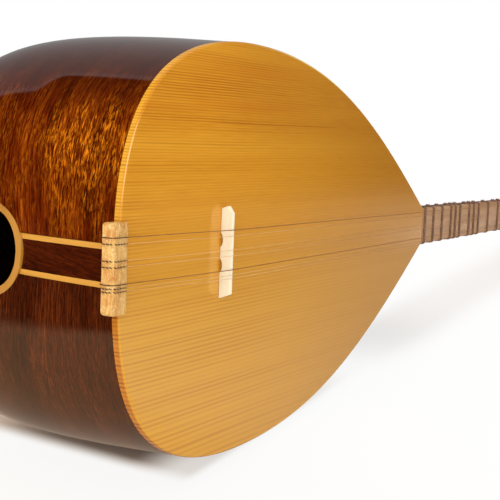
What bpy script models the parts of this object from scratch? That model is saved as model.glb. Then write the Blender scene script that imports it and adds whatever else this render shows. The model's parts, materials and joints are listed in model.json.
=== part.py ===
"""Long-neck baglama, a plucked lute that lies on its side, built piece by piece.

Lengths are in metres. The pieces are modelled in the instrument's own frame: x runs from the tail to
the head, y across the strings and z out of the soundboard. An empty then lays them on their side.
"""
import math

import bmesh
import bpy
import numpy as np
from mathutils import Matrix, Vector

# Body
BODY_LENGTH = 0.420
BODY_WIDTH = 0.256
WIDEST_AT = 0.128
TAIL_HANDLE = 0.045
SHOULDER_HANDLE = 0.108
NECK_END_HANDLE = 0.130
NECK_END_ANGLE = math.radians(34.4)
SOUNDBOARD_THICKNESS = 0.0042
SOUNDBOARD_ROUNDING = 0.0018
BOWL_DEPTH = 0.190
WALL = 0.0035
TAIL_SQUARENESS = 3.0
SIDE_SQUARENESS = 7.2
HEEL_SQUARENESS = 2.2
SIDE_SWELL = 0.038
STAVE_SEAMS = (0.0, 0.165, 0.375, 0.60, 0.81)

# Sound hole and the stripes that lead to it
HOLE_CENTRE_DEPTH = 0.0965
RING_OUTER_RADIUS = 0.0272
RING_INNER_RADIUS = 0.0212
RING_DEPTH = 0.0042
RING_PROUD = 0.0005
TAIL_STRIP_WIDTH = 0.0184
STRIPE_WIDTH = 0.0030

# Blocks and braces inside the bowl
TAIL_BLOCK_SIZE = (0.022, 0.060, 0.048)
NECK_BLOCK_LENGTH = 0.038
TENON_SIZE = (0.030, 0.012, 0.016)
TENON_TOP = 0.011
BRACE_SECTION = (0.008, 0.012)
BRACES_AT = {"brace_tail": 0.165, "brace_neck": 0.262}
BRACE_END_ROOM = 0.0025
BRACE_ROUNDING = 0.0015

# Bridge and string block
BRIDGE_AT = 0.101
BRIDGE_HEIGHT = 0.0080
BRIDGE_FOOT_LENGTH = 0.054
BRIDGE_SHOULDER_LENGTH = 0.0575
BRIDGE_SHOULDER_HEIGHT = 0.0045
BRIDGE_TOP_LENGTH = 0.0495
BRIDGE_FOOT_THICKNESS = 0.0045
BRIDGE_TOP_THICKNESS = 0.0025
BRIDGE_ARCH_AT = 0.0078
BRIDGE_ARCH_RADIUS = 0.0040
BRIDGE_ARCH_HEIGHT = 0.0028
STRING_BLOCK_LENGTH = 0.0475
STRING_BLOCK_OVERLAP = 0.0035
STRING_BLOCK_OVERHANG = 0.0078
STRING_BLOCK_HEIGHT = 0.0022
STRING_BLOCK_DROP = 0.0064
STRING_BLOCK_ROUNDING = 0.0010

# Neck, nut and frets
SCALE_LENGTH = 0.860
NECK_WIDTH_BODY = 0.0300
NECK_WIDTH_NUT = 0.0250
NECK_DEPTH_BODY = 0.0270
NECK_DEPTH_NUT = 0.0200
HEEL_DEPTH = 0.0380
HEEL_LENGTH = 0.060
NECK_CORNER = 0.0012
NUT_THICKNESS = 0.0040
NUT_HEIGHT = 0.0032
NUT_SLOT_DEPTH = 0.0009
NUT_SLOT_ROOM = 0.0006
FRET_SEMITONES = (1, 1.5, 2, 3, 3.5, 4, 5, 6, 6.5, 7, 8, 8.5, 9, 10, 11, 11.5, 12, 13, 13.5, 14, 15, 16, 17)
FRET_LINE = 0.00095
FRET_TURNS = 3
FRET_PITCH = 0.00145

# Head and pegs
HEAD_TILT = math.radians(8)
HEAD_LENGTH = 0.184
HEAD_WIDTH = 0.032
HEAD_TIP_WIDTH = 0.022
HEAD_DEPTH = 0.024
HEAD_TIP_DEPTH = 0.018
HEAD_SHOULDER = 0.018
HEAD_TIP_ROUNDING = 0.010
HEAD_SQUARENESS = 5.0
FRONT_PEGS_FROM = 0.036
SIDE_PEGS_FROM = 0.052
PEG_SPACING = 0.032
PEG_MOUTH_RADIUS = 0.0044
PEG_TAPER = 0.025
PEG_NECK_LENGTH = 0.0095
PEG_COLLAR_RADIUS = 0.0058
PEG_COLLAR_LENGTH = 0.0020
PEG_HANDLE_LENGTH = 0.026
PEG_HANDLE_WIDTH = 0.022
PEG_HANDLE_THICKNESS = 0.0085
PEG_CLEARANCE = 0.0003
FRONT_PEG_TIP = 0.002
SIDE_PEG_TIP = -0.002

# Strings, from the upper course to the lower one
WOUND_STRING = 0.00055
PLAIN_STRING = 0.00030
STRING_DIAMETERS = (WOUND_STRING, PLAIN_STRING, PLAIN_STRING, PLAIN_STRING, WOUND_STRING, PLAIN_STRING,
                    PLAIN_STRING)
STRINGS_AT_BLOCK = (0.0155, 0.0120, 0.0030, -0.0003, -0.0096, -0.0116, -0.0135)
STRINGS_AT_BRIDGE = (0.0145, 0.0108, 0.0023, -0.0012, -0.0097, -0.0130, -0.0151)
STRINGS_AT_NUT = (0.0096, 0.0076, 0.0010, -0.0010, -0.0072, -0.0090, -0.0108)
STRING_TUCK = 0.004
PEG_TURNS = 3
WINDING_GAP = 0.00045
SIDE_WINDING_START = 0.0030
FRONT_WINDING_START = 0.0022
HEAD_EDGE_LEAD = 0.022

# Clearances, rest pose and mesh fineness
GLUE_GAP = 0.0003
REST_ROLL = math.radians(2)
TAIL_STEPS = 9
NECK_STEPS = 11
STAVE_STRIPS = 4
BACK_STRIPS = 4
SECTION_SAMPLES = 240
BACK_ARC_STEPS = 6
HEEL_STEPS = 4
FRET_SIDES = 0
WINDING_STEPS = 12
PEG_SIDES = 16
RING_STEPS = 36
WELD = 0.00001

# Places that follow from the sizes above
RIM_DEPTH = SOUNDBOARD_THICKNESS + GLUE_GAP
NUT_AT = BRIDGE_AT + SCALE_LENGTH
NECK_END = NUT_AT + NUT_THICKNESS
HEAD_START = NECK_END + GLUE_GAP
HALF_STRIPS = TAIL_STRIP_WIDTH / 2 + GLUE_GAP + STRIPE_WIDTH


def srgb(red, green, blue):
    """Turn 0 to 255 screen values into the linear colour that a shader takes."""
    channels = [value / 255 for value in (red, green, blue)]
    linear = [c / 12.92 if c <= 0.04045 else ((c + 0.055) / 1.055) ** 2.4 for c in channels]
    return (*linear, 1.0)


# Finish of each kind of piece: colour, roughness, metallic
FINISHES = {
    "spruce": (srgb(206, 148, 66), 0.35, 0.0),
    "mahogany": (srgb(101, 40, 10), 0.25, 0.0),
    "pale_trim": (srgb(204, 140, 50), 0.35, 0.0),
    "inside_wood": (srgb(196, 158, 108), 0.8, 0.0),
    "maple": (srgb(240, 218, 168), 0.5, 0.0),
    "boxwood": (srgb(222, 178, 116), 0.55, 0.0),
    "neck_wood": (srgb(172, 130, 93), 0.45, 0.0),
    "head_wood": (srgb(120, 62, 28), 0.35, 0.0),
    "peg_wood": (srgb(52, 30, 20), 0.3, 0.0),
    "bone": (srgb(236, 228, 206), 0.4, 0.0),
    "nylon": (srgb(92, 70, 52), 0.35, 0.0),
    "plain_steel": (srgb(200, 198, 192), 0.3, 1.0),
    "wound_steel": (srgb(96, 82, 68), 0.4, 1.0),
}


def clear_scene():
    """Remove every object that the file starts with."""
    for item in list(bpy.data.objects):
        bpy.data.objects.remove(item, do_unlink=True)


def new_collection(name, hidden=False):
    """Add a collection to the scene, whose objects don't render when it is hidden."""
    group = bpy.data.collections.new(name)
    group.hide_render = hidden
    bpy.context.scene.collection.children.link(group)
    return group


def make_material(name, finish):
    """Make one piece's own material from a finish in the table."""
    colour, roughness, metallic = FINISHES[finish]
    material = bpy.data.materials.new(name + "_finish")
    material.use_nodes = True
    shader = material.node_tree.nodes["Principled BSDF"]
    shader.inputs["Base Color"].default_value = colour
    shader.inputs["Roughness"].default_value = roughness
    shader.inputs["Metallic"].default_value = metallic
    material.diffuse_color = colour
    return material


class Bench:
    """Holds the collections and the empty that all the pieces are fixed to."""

    def __init__(self):
        self.pieces = new_collection("long_neck_baglama")
        self.cutters = new_collection("cutters", hidden=True)
        self.root = bpy.data.objects.new("instrument", None)
        self.pieces.objects.link(self.root)

    def add(self, name, data, finish, smooth=True):
        """Place a mesh or curve as one named piece with its own material."""
        item = bpy.data.objects.new(name, data)
        data.name = name
        data.materials.append(make_material(name, finish))
        self.pieces.objects.link(item)
        item.parent = self.root
        if smooth and isinstance(data, bpy.types.Mesh):
            data.shade_smooth()
            data.set_sharp_from_angle(angle=math.radians(35))
        return item

    def add_cutter(self, name, mesh):
        """Place a mesh that only cuts others."""
        item = bpy.data.objects.new(name, mesh)
        self.cutters.objects.link(item)
        item.parent = self.root
        item.hide_render = True
        item.display_type = "WIRE"
        return item


def boolean(item, other, operation="DIFFERENCE"):
    """Cut or join a piece with another object."""
    modifier = item.modifiers.new(other.name, "BOOLEAN")
    modifier.operation = operation
    modifier.solver = "EXACT"
    modifier.object = other


def finish_mesh(name, work):
    """Weld, turn the faces outwards and store a bmesh as mesh data."""
    bmesh.ops.remove_doubles(work, verts=work.verts, dist=WELD)
    bmesh.ops.recalc_face_normals(work, faces=work.faces)
    mesh = bpy.data.meshes.new(name)
    work.to_mesh(mesh)
    work.free()
    return mesh


def box_mesh(name, low, high, rounding=0.0):
    """A box between two corners, with softened edges if a rounding is given."""
    low, high = Vector(low), Vector(high)
    work = bmesh.new()
    bmesh.ops.create_cube(work, size=1.0)
    bmesh.ops.scale(work, vec=high - low, verts=work.verts)
    bmesh.ops.translate(work, vec=(low + high) / 2, verts=work.verts)
    if rounding:
        bmesh.ops.bevel(work, geom=work.edges[:], offset=rounding, segments=2, affect="EDGES", profile=0.5)
    return finish_mesh(name, work)


def cone_mesh(name, start, end, start_radius, end_radius, sides):
    """A closed cone or cylinder from one point to another."""
    start, end = Vector(start), Vector(end)
    work = bmesh.new()
    turn = (end - start).to_track_quat("Z", "Y").to_matrix().to_4x4()
    place = Matrix.Translation((start + end) / 2) @ turn
    bmesh.ops.create_cone(work, cap_ends=True, segments=sides, radius1=start_radius, radius2=end_radius,
                          depth=(end - start).length, matrix=place)
    return finish_mesh(name, work)


def loft_mesh(name, rings):
    """Skin closed rings of as many points each, and cap both ends."""
    work = bmesh.new()
    rows = [[work.verts.new(point) for point in ring] for ring in rings]
    count = len(rows[0])
    for near, far in zip(rows, rows[1:]):
        for i in range(count):
            j = (i + 1) % count
            work.faces.new((near[i], near[j], far[j], far[i]))
    work.faces.new(rows[0])
    work.faces.new(rows[-1])
    return finish_mesh(name, work)


def shell_mesh(name, outer, inner, closed_far_side=False):
    """A curved wall between two grids of points, with its edges closed."""
    work = bmesh.new()
    skins = [[[work.verts.new(point) for point in row] for row in grid] for grid in (outer, inner)]
    rows, columns = len(outer), len(outer[0])
    for skin in skins:
        for i in range(rows - 1):
            for j in range(columns - 1):
                work.faces.new((skin[i][j], skin[i + 1][j], skin[i + 1][j + 1], skin[i][j + 1]))
    top, bottom = skins
    for i in range(rows - 1):
        work.faces.new((top[i][0], top[i + 1][0], bottom[i + 1][0], bottom[i][0]))
        if not closed_far_side:
            work.faces.new((top[i][-1], top[i + 1][-1], bottom[i + 1][-1], bottom[i][-1]))
    for i in (0, rows - 1):
        for j in range(columns - 1):
            work.faces.new((top[i][j], top[i][j + 1], bottom[i][j + 1], bottom[i][j]))
    return finish_mesh(name, work)


def line_curve(name, points, diameter, sides):
    """A round wire with capped ends along a list of points."""
    curve = bpy.data.curves.new(name, "CURVE")
    curve.dimensions = "3D"
    curve.bevel_depth = diameter / 2
    curve.bevel_resolution = sides
    curve.use_fill_caps = True
    spline = curve.splines.new("POLY")
    spline.points.add(len(points) - 1)
    for target, point in zip(spline.points, points):
        target.co = (*point, 1.0)
    return curve


def least_gap(points, diameter, apart):
    """Least free distance between stretches of a wire that lie some points apart."""
    path = np.array([tuple(point) for point in points])
    gaps = [np.linalg.norm(path[i + apart:] - path[i], axis=1).min() for i in range(len(path) - apart)]
    return min(gaps) - diameter


# Outline of the body


def bezier(ends, steps):
    """Points along a cubic curve given by its four control points."""
    controls = np.array(ends)
    t = np.linspace(0, 1, steps + 1)[:, None]
    return ((1 - t) ** 3 * controls[0] + 3 * t * (1 - t) ** 2 * controls[1]
            + 3 * t ** 2 * (1 - t) * controls[2] + t ** 3 * controls[3])


def half_outline():
    """Soundboard outline from the middle of the tail to the neck, on the upper side."""
    half = BODY_WIDTH / 2
    neck = NECK_WIDTH_BODY / 2
    end = BODY_LENGTH - GLUE_GAP
    handle_back = NECK_END_HANDLE * math.cos(NECK_END_ANGLE)
    handle_out = NECK_END_HANDLE * math.sin(NECK_END_ANGLE)
    tail = bezier([(0, 0), (0, TAIL_HANDLE), (0, half), (WIDEST_AT, half)], TAIL_STEPS)
    shoulder = bezier([(WIDEST_AT, half), (WIDEST_AT + SHOULDER_HANDLE, half),
                       (end - handle_back, neck + handle_out), (end, neck)], NECK_STEPS)
    return np.vstack([tail, shoulder[1:]])


OUTLINE = half_outline()


# Bowl surface


def blend(start, end, share):
    """A value part of the way from one to another."""
    return start + (end - start) * share


def station_shape(x, y):
    """Squareness, swell and depth of the bowl's section that starts at an outline point."""
    if x <= WIDEST_AT:
        turn = math.atan2(abs(y), WIDEST_AT - x) / (math.pi / 2)
        return blend(TAIL_SQUARENESS, SIDE_SQUARENESS, turn), SIDE_SWELL * turn, BOWL_DEPTH
    run = (x - WIDEST_AT) / (BODY_LENGTH - GLUE_GAP - WIDEST_AT)
    depth = blend(BOWL_DEPTH, HEEL_DEPTH, run ** 2)
    return blend(SIDE_SQUARENESS, HEEL_SQUARENESS, run), SIDE_SWELL * (1 - run), depth


def bowl_section(x, y, inset, fractions, trims):
    """Points down the bowl from an outline point to the bottom of the bowl.

    fractions are shares of the section's length, trims are lengths added to them, and inset moves
    the section inwards by a wall's thickness.
    """
    squareness, swell, depth = station_shape(x, y)
    centre = max(x, WIDEST_AT)
    out = np.array([x - centre, y])
    reach = np.linalg.norm(out)
    out = out / max(reach, WELD)
    reach -= inset
    depth = depth - RIM_DEPTH - inset
    angle = np.linspace(0, math.pi / 2, SECTION_SAMPLES)
    across = np.abs(np.cos(angle)) ** (2 / squareness)
    down = np.sin(angle) ** (2 / squareness)
    across[-1] = 0
    across = across * (1 + swell * np.sin(math.pi * down)) * reach
    down = down * depth
    length = np.concatenate([[0], np.cumsum(np.hypot(np.diff(across), np.diff(down)))])
    at = np.array(fractions) * length[-1] + np.array(trims)
    across, down = np.interp(at, length, across), np.interp(at, length, down)
    return np.column_stack([centre + out[0] * across, out[1] * across, -RIM_DEPTH - down])


def stave_edges(index):
    """Fractions and trims of the sample lines across one stave."""
    edges = STAVE_SEAMS + (1.0,)
    strips = BACK_STRIPS if index == len(STAVE_SEAMS) - 1 else STAVE_STRIPS
    fractions = np.linspace(edges[index], edges[index + 1], strips + 1)
    trims = np.zeros(strips + 1)
    trims[0] = GLUE_GAP / 2 if index else 0.0
    trims[-1] = -GLUE_GAP / 2 if edges[index + 1] < 1 else 0.0
    return fractions, trims


def tail_depths(index):
    """Highest and lowest level of a stave at the middle of the tail."""
    fractions, trims = stave_edges(index)
    levels = bowl_section(0, GLUE_GAP / 2, 0, fractions, trims)[:, 2]
    return levels[0], levels[-1]


def tail_surface(depth, inset=0.0):
    """x of the tail at a depth below the soundboard's face, in the middle."""
    section = bowl_section(0, GLUE_GAP / 2, inset, np.linspace(0, 1, SECTION_SAMPLES), 0)
    return float(np.interp(depth, -section[:, 2], section[:, 0]))


def hole_frame():
    """Centre and outward direction of the sound hole on the tail."""
    span = RING_OUTER_RADIUS
    above, below = tail_surface(HOLE_CENTRE_DEPTH - span), tail_surface(HOLE_CENTRE_DEPTH + span)
    along = Vector((below - above, 0, -2 * span)).normalized()
    outward = Vector((along.z, 0, -along.x))
    centre = Vector((tail_surface(HOLE_CENTRE_DEPTH), 0, -HOLE_CENTRE_DEPTH))
    return centre, outward


def add_soundboard(bench):
    """Flat plate with its upper edge rounded."""
    points = np.vstack([OUTLINE, OUTLINE[:0:-1] * (1, -1)])
    curve = bpy.data.curves.new("soundboard_outline", "CURVE")
    curve.dimensions = "2D"
    curve.fill_mode = "BOTH"
    curve.extrude = SOUNDBOARD_THICKNESS / 2
    spline = curve.splines.new("POLY")
    spline.points.add(len(points) - 1)
    spline.use_cyclic_u = True
    for target, (x, y) in zip(spline.points, points):
        target.co = (x, y, 0, 1)
    blank = bpy.data.objects.new("soundboard_blank", curve)
    bench.pieces.objects.link(blank)
    view = bpy.context.evaluated_depsgraph_get()
    mesh = bpy.data.meshes.new_from_object(blank.evaluated_get(view))
    bpy.data.objects.remove(blank)
    work = bmesh.new()
    work.from_mesh(mesh)
    bmesh.ops.remove_doubles(work, verts=work.verts, dist=WELD)
    bmesh.ops.translate(work, vec=(0, 0, -SOUNDBOARD_THICKNESS / 2), verts=work.verts)
    rim = [edge for edge in work.edges
           if all(vert.co.z > -WELD for vert in edge.verts) and edge.calc_face_angle(0) > 1]
    bmesh.ops.bevel(work, geom=rim, offset=SOUNDBOARD_ROUNDING, segments=2, affect="EDGES", profile=0.5)
    bench.add("soundboard", finish_mesh("soundboard", work), "spruce")


def add_staves(bench):
    """Four staves on each side, cut for the tail's stripes and ring, and one down the back."""
    strip_cutter, ring_cutter = tail_cutters(bench)
    centre, outward = hole_frame()
    hole_top = centre.z + RING_OUTER_RADIUS + GLUE_GAP
    hole_bottom = centre.z - RING_OUTER_RADIUS - GLUE_GAP
    route = OUTLINE.copy()
    route[0] = (0, GLUE_GAP / 2)
    for side, sign in (("upper", 1), ("lower", -1)):
        for index in range(len(STAVE_SEAMS) - 1):
            fractions, trims = stave_edges(index)
            outer = [bowl_section(x, y, 0, fractions, trims) * (1, sign, 1) for x, y in route]
            inner = [bowl_section(x, y, WALL, fractions, trims) * (1, sign, 1) for x, y in route]
            name = f"stave_{side}_{index + 1}"
            stave = bench.add(name, shell_mesh(name, outer, inner), "mahogany")
            high, low = tail_depths(index)
            if high > centre.z:
                boolean(stave, strip_cutter)
            if high > hole_bottom and low < hole_top:
                boolean(stave, ring_cutter)
    add_back_stave(bench, ring_cutter, hole_bottom)


def add_back_stave(bench, ring_cutter, hole_bottom):
    """The widest stave, down the middle of the back and round to the tail."""
    fractions, trims = stave_edges(len(STAVE_SEAMS) - 1)
    upper = [(x, y, 1) for x, y in OUTLINE[::-1]]
    lower = [(x, y, -1) for x, y in OUTLINE[1:]]
    upper[-1] = (0, WELD, 1)
    outer = [bowl_section(x, y, 0, fractions, trims) * (1, sign, 1) for x, y, sign in upper + lower]
    inner = [bowl_section(x, y, WALL, fractions, trims) * (1, sign, 1) for x, y, sign in upper + lower]
    mesh = shell_mesh("stave_back", outer, inner, closed_far_side=True)
    stave = bench.add("stave_back", mesh, "mahogany")
    if tail_depths(len(STAVE_SEAMS) - 1)[0] > hole_bottom:
        boolean(stave, ring_cutter)


def tail_cutters(bench):
    """Cutters for the band of stripes and for the ring."""
    centre, outward = hole_frame()
    reach = BOWL_DEPTH / 4
    half = HALF_STRIPS + GLUE_GAP
    strip = box_mesh("strip_cut", (-reach, -half, centre.z), (reach, half, reach))
    start, end = centre + outward * reach, centre - outward * reach
    radius = RING_OUTER_RADIUS + GLUE_GAP
    ring = cone_mesh("ring_cut", start, end, radius, radius, RING_STEPS)
    return bench.add_cutter("strip_cut", strip), bench.add_cutter("ring_cut", ring)


def add_tail_strips(bench):
    """The dark strip and the two light stripes from the string block to the ring."""
    ring_cutter = bench.cutters.objects["ring_cut"]
    levels = np.linspace(RIM_DEPTH, HOLE_CENTRE_DEPTH, 7)
    outer = [(tail_surface(level), -level) for level in levels]
    inner = [(tail_surface(level, WALL), -level) for level in levels[::-1]]
    half = TAIL_STRIP_WIDTH / 2
    bands = {
        "tail_strip": (-half, half, "mahogany"),
        "stripe_upper": (half + GLUE_GAP, HALF_STRIPS, "pale_trim"),
        "stripe_lower": (-HALF_STRIPS, -half - GLUE_GAP, "pale_trim"),
    }
    for name, (low, high, finish) in bands.items():
        rings = [[(x, y, z) for x, z in outer + inner] for y in (low, high)]
        strip = bench.add(name, loft_mesh(name, rings), finish)
        boolean(strip, ring_cutter)


def add_sound_hole_ring(bench):
    """A turned ring that lines the sound hole."""
    centre, outward = hole_frame()
    soft = RING_PROUD
    profile = [(RING_OUTER_RADIUS - soft, RING_PROUD), (RING_OUTER_RADIUS, RING_PROUD - soft),
               (RING_OUTER_RADIUS, -RING_DEPTH), (RING_INNER_RADIUS, -RING_DEPTH),
               (RING_INNER_RADIUS, RING_PROUD - soft), (RING_INNER_RADIUS + soft, RING_PROUD)]
    mesh = bpy.data.meshes.new("sound_hole_ring")
    count = len(profile)
    mesh.from_pydata([(x, 0, z) for x, z in profile], [(i, (i + 1) % count) for i in range(count)], [])
    ring = bench.add("sound_hole_ring", mesh, "pale_trim", smooth=False)
    ring.location = centre
    ring.rotation_euler = outward.to_track_quat("Z", "Y").to_euler()
    screw = ring.modifiers.new("turn", "SCREW")
    screw.steps = screw.render_steps = RING_STEPS
    screw.use_merge_vertices = True
    screw.merge_threshold = WELD
    screw.use_smooth_shade = True


def add_inner_blocks(bench):
    """The tail block and the neck block, glued inside the bowl."""
    thickness, width, height = TAIL_BLOCK_SIZE
    side_back = float(np.interp(width / 2, OUTLINE[:, 1][:TAIL_STEPS], OUTLINE[:, 0][:TAIL_STEPS]))
    front = tail_surface(RIM_DEPTH + height, WALL) + side_back + GLUE_GAP
    block = box_mesh("tail_block", (front, -width / 2, -RIM_DEPTH - height),
                     (front + thickness, width / 2, -RIM_DEPTH), BRACE_ROUNDING)
    bench.add("tail_block", block, "inside_wood")
    end = BODY_LENGTH - GLUE_GAP
    rings = [neck_block_ring(x) for x in np.linspace(end - NECK_BLOCK_LENGTH, end, 3)]
    neck_block = bench.add("neck_block", loft_mesh("neck_block", rings), "inside_wood")
    length, across, deep = TENON_SIZE
    room = GLUE_GAP
    low = (end - length - room, -across / 2 - room, -TENON_TOP - deep - room)
    high = (end + length, across / 2 + room, -TENON_TOP + room)
    boolean(neck_block, bench.add_cutter("mortise_cut", box_mesh("mortise_cut", low, high)))


def neck_block_ring(x):
    """Section of the neck block, just inside the staves."""
    y = float(np.interp(x, OUTLINE[:, 0], OUTLINE[:, 1]))
    fractions = np.linspace(0, 1, 5)
    side = bowl_section(x, y, WALL + 2 * GLUE_GAP, fractions, 0)
    return [tuple(point) for point in side] + [tuple(point) for point in side[-2::-1] * (1, -1, 1)]


def add_braces(bench):
    """Two bars across the underside of the soundboard."""
    wide, deep = BRACE_SECTION
    for name, x in BRACES_AT.items():
        room = min(np.interp((x - wide / 2, x + wide / 2), OUTLINE[:, 0], OUTLINE[:, 1]))
        half = float(room) - WALL - BRACE_END_ROOM
        mesh = box_mesh(name, (x - wide / 2, -half, -RIM_DEPTH - deep), (x + wide / 2, half, -RIM_DEPTH),
                        BRACE_ROUNDING)
        bench.add(name, mesh, "inside_wood")


# Bridge and string block


def add_bridge(bench):
    """The bridge with its two arches, whose foot is thicker than its top."""
    face = []
    for sign in (-1, 1):
        arch = [(sign * BRIDGE_ARCH_AT + BRIDGE_ARCH_RADIUS * math.cos(a), BRIDGE_ARCH_HEIGHT * math.sin(a))
                for a in np.linspace(math.pi, 0, BACK_ARC_STEPS)]
        face += arch
    half_foot, half_shoulder, half_top = (length / 2 for length in (BRIDGE_FOOT_LENGTH, BRIDGE_SHOULDER_LENGTH,
                                                                   BRIDGE_TOP_LENGTH))
    face += [(half_foot, 0), (half_shoulder, BRIDGE_SHOULDER_HEIGHT), (half_top, BRIDGE_HEIGHT)]
    face += [(-half_top, BRIDGE_HEIGHT), (-half_shoulder, BRIDGE_SHOULDER_HEIGHT), (-half_foot, 0)]
    back = BRIDGE_AT - BRIDGE_TOP_THICKNESS / 2
    lean = (BRIDGE_FOOT_THICKNESS - BRIDGE_TOP_THICKNESS) / BRIDGE_HEIGHT
    near = [(back, y, z + GLUE_GAP) for y, z in face]
    far = [(back + BRIDGE_FOOT_THICKNESS - lean * z, y, z + GLUE_GAP) for y, z in face]
    bridge = bench.add("bridge", loft_mesh("bridge", [near, far]), "maple")
    place_origin(bridge, (BRIDGE_AT, 0, GLUE_GAP))


def place_origin(item, point):
    """Move a piece's origin without moving the piece."""
    shift = Matrix.Translation(-Vector(point))
    item.data.transform(shift)
    item.location = point


def add_string_block(bench):
    """Block over the corner of the tail that the strings are hooked to."""
    front = -STRING_BLOCK_OVERHANG
    half = STRING_BLOCK_LENGTH / 2
    block = bench.add("string_block", box_mesh("string_block", (front, -half, -STRING_BLOCK_DROP),
                      (STRING_BLOCK_OVERLAP, half, STRING_BLOCK_HEIGHT), STRING_BLOCK_ROUNDING), "boxwood")
    reach = BODY_WIDTH / 4
    rebate = box_mesh("rebate_cut", (-GLUE_GAP, -reach, -reach), (reach, reach, GLUE_GAP))
    boolean(block, bench.add_cutter("rebate_cut", rebate))


# Neck, frets and nut


def neck_stations():
    """Places along the neck where its section is set, closer together at the heel."""
    heel = np.linspace(0, 1, HEEL_STEPS + 1) * HEEL_LENGTH + BODY_LENGTH
    return [float(x) for x in heel] + [NUT_AT, NECK_END]


def neck_size(x):
    """Half width and depth of the neck at a place along it, straight from one station to the next."""
    stations = np.array(neck_stations())
    run = (stations - BODY_LENGTH) / (NUT_AT - BODY_LENGTH)
    heel = np.clip(1 - (stations - BODY_LENGTH) / HEEL_LENGTH, 0, None) ** 2
    halves = blend(NECK_WIDTH_BODY, NECK_WIDTH_NUT, run) / 2
    depths = blend(NECK_DEPTH_BODY, NECK_DEPTH_NUT, run) + (HEEL_DEPTH - NECK_DEPTH_BODY) * heel
    return float(np.interp(x, stations, halves)), float(np.interp(x, stations, depths))


def neck_ring(x, half, depth, grow=0.0):
    """Section of the neck: flat on top, eased corners and a round back."""
    half, corner = half + grow, NECK_CORNER
    angles = np.linspace(0, math.pi, BACK_ARC_STEPS + 1)
    back = []
    for angle in angles:
        across = math.copysign(abs(math.cos(angle)) ** (2 / HEEL_SQUARENESS), math.cos(angle))
        down = math.sin(angle) ** (2 / HEEL_SQUARENESS) if 0 < angle < math.pi else 0.0
        back.append((x, half * across, -RIM_DEPTH - (depth + grow - RIM_DEPTH) * down))
    top = [(x, -half, -corner), (x, -half + corner, grow), (x, half - corner, grow), (x, half, -corner)]
    return back + top


def add_neck(bench):
    """The neck with the tenon that holds it in the body."""
    rings = [neck_ring(x, *neck_size(x)) for x in neck_stations()]
    neck = bench.add("neck", loft_mesh("neck", rings), "neck_wood")
    length, across, deep = TENON_SIZE
    overlap = length / 4
    low = (BODY_LENGTH - length, -across / 2, -TENON_TOP - deep)
    high = (BODY_LENGTH + overlap, across / 2, -TENON_TOP)
    tenon = bench.add_cutter("tenon", box_mesh("tenon", low, high))
    boolean(neck, tenon, "UNION")


def fret_path(x):
    """A line wound round the neck, a little wider than the neck all the way."""
    start = x - FRET_PITCH * FRET_TURNS / 2
    half, depth = neck_size(start)
    ring = neck_ring(0, half, depth, GLUE_GAP + FRET_LINE / 2)
    count = len(ring)
    steps = count * FRET_TURNS
    return [(start + FRET_PITCH * i / count, ring[i % count][1], ring[i % count][2]) for i in range(steps + 1)]


def fret_places():
    """Distance of each fret from the tail, nut end first, for the frets that lie on the neck."""
    places = [BRIDGE_AT + SCALE_LENGTH / 2 ** (semitone / 12) for semitone in FRET_SEMITONES]
    first_free = BODY_LENGTH + FRET_PITCH * FRET_TURNS / 2 + FRET_LINE
    return [x for x in places if x > first_free]


def add_frets(bench):
    """Tied frets, each one unbroken line with several turns."""
    for number, x in enumerate(fret_places(), start=1):
        name = f"fret_{number:02d}"
        path = fret_path(x)
        bench.add(name, line_curve(name, path, FRET_LINE, FRET_SIDES), "nylon")
    turn = len(path) // FRET_TURNS
    print("least gap between the turns of a fret, mm:", round(1000 * least_gap(path, FRET_LINE, turn), 3))


def add_nut(bench):
    """The nut with a slot for each string."""
    half = neck_size(NUT_AT)[0] - NECK_CORNER
    nut = bench.add("nut", box_mesh("nut", (NUT_AT, -half, GLUE_GAP), (NUT_AT + NUT_THICKNESS, half, NUT_HEIGHT)),
                    "bone")
    floor = NUT_HEIGHT - NUT_SLOT_DEPTH
    work = bmesh.new()
    for y, diameter in zip(STRINGS_AT_NUT, STRING_DIAMETERS):
        width = diameter + NUT_SLOT_ROOM
        slot = bmesh.ops.create_cube(work, size=1.0)["verts"]
        bmesh.ops.scale(work, vec=(3 * NUT_THICKNESS, width, 2 * NUT_SLOT_DEPTH), verts=slot)
        bmesh.ops.translate(work, vec=(NUT_AT + NUT_THICKNESS / 2, y, floor + NUT_SLOT_DEPTH), verts=slot)
    boolean(nut, bench.add_cutter("nut_slots", finish_mesh("nut_slots", work)))


# Head and pegs


def head_point(along, across, up):
    """A point given along, across and above the head's face, in the instrument's frame."""
    cos, sin = math.cos(HEAD_TILT), math.sin(HEAD_TILT)
    return Vector((HEAD_START + along * cos + up * sin, across, -along * sin + up * cos))


def head_size(along):
    """Half width, depth and squareness of the head at a place along it."""
    places = [0, HEAD_SHOULDER, HEAD_LENGTH - HEAD_TIP_ROUNDING, HEAD_LENGTH]
    tip_cut = HEAD_TIP_ROUNDING / 2
    widths = [NECK_WIDTH_NUT, HEAD_WIDTH, HEAD_TIP_WIDTH, HEAD_TIP_WIDTH - 2 * tip_cut]
    depths = [NECK_DEPTH_NUT, HEAD_DEPTH, HEAD_TIP_DEPTH, HEAD_TIP_DEPTH - tip_cut]
    squares = [HEEL_SQUARENESS, HEAD_SQUARENESS, HEAD_SQUARENESS, HEAD_SQUARENESS]
    return (float(np.interp(along, places, widths)) / 2, float(np.interp(along, places, depths)),
            float(np.interp(along, places, squares)))


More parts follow.
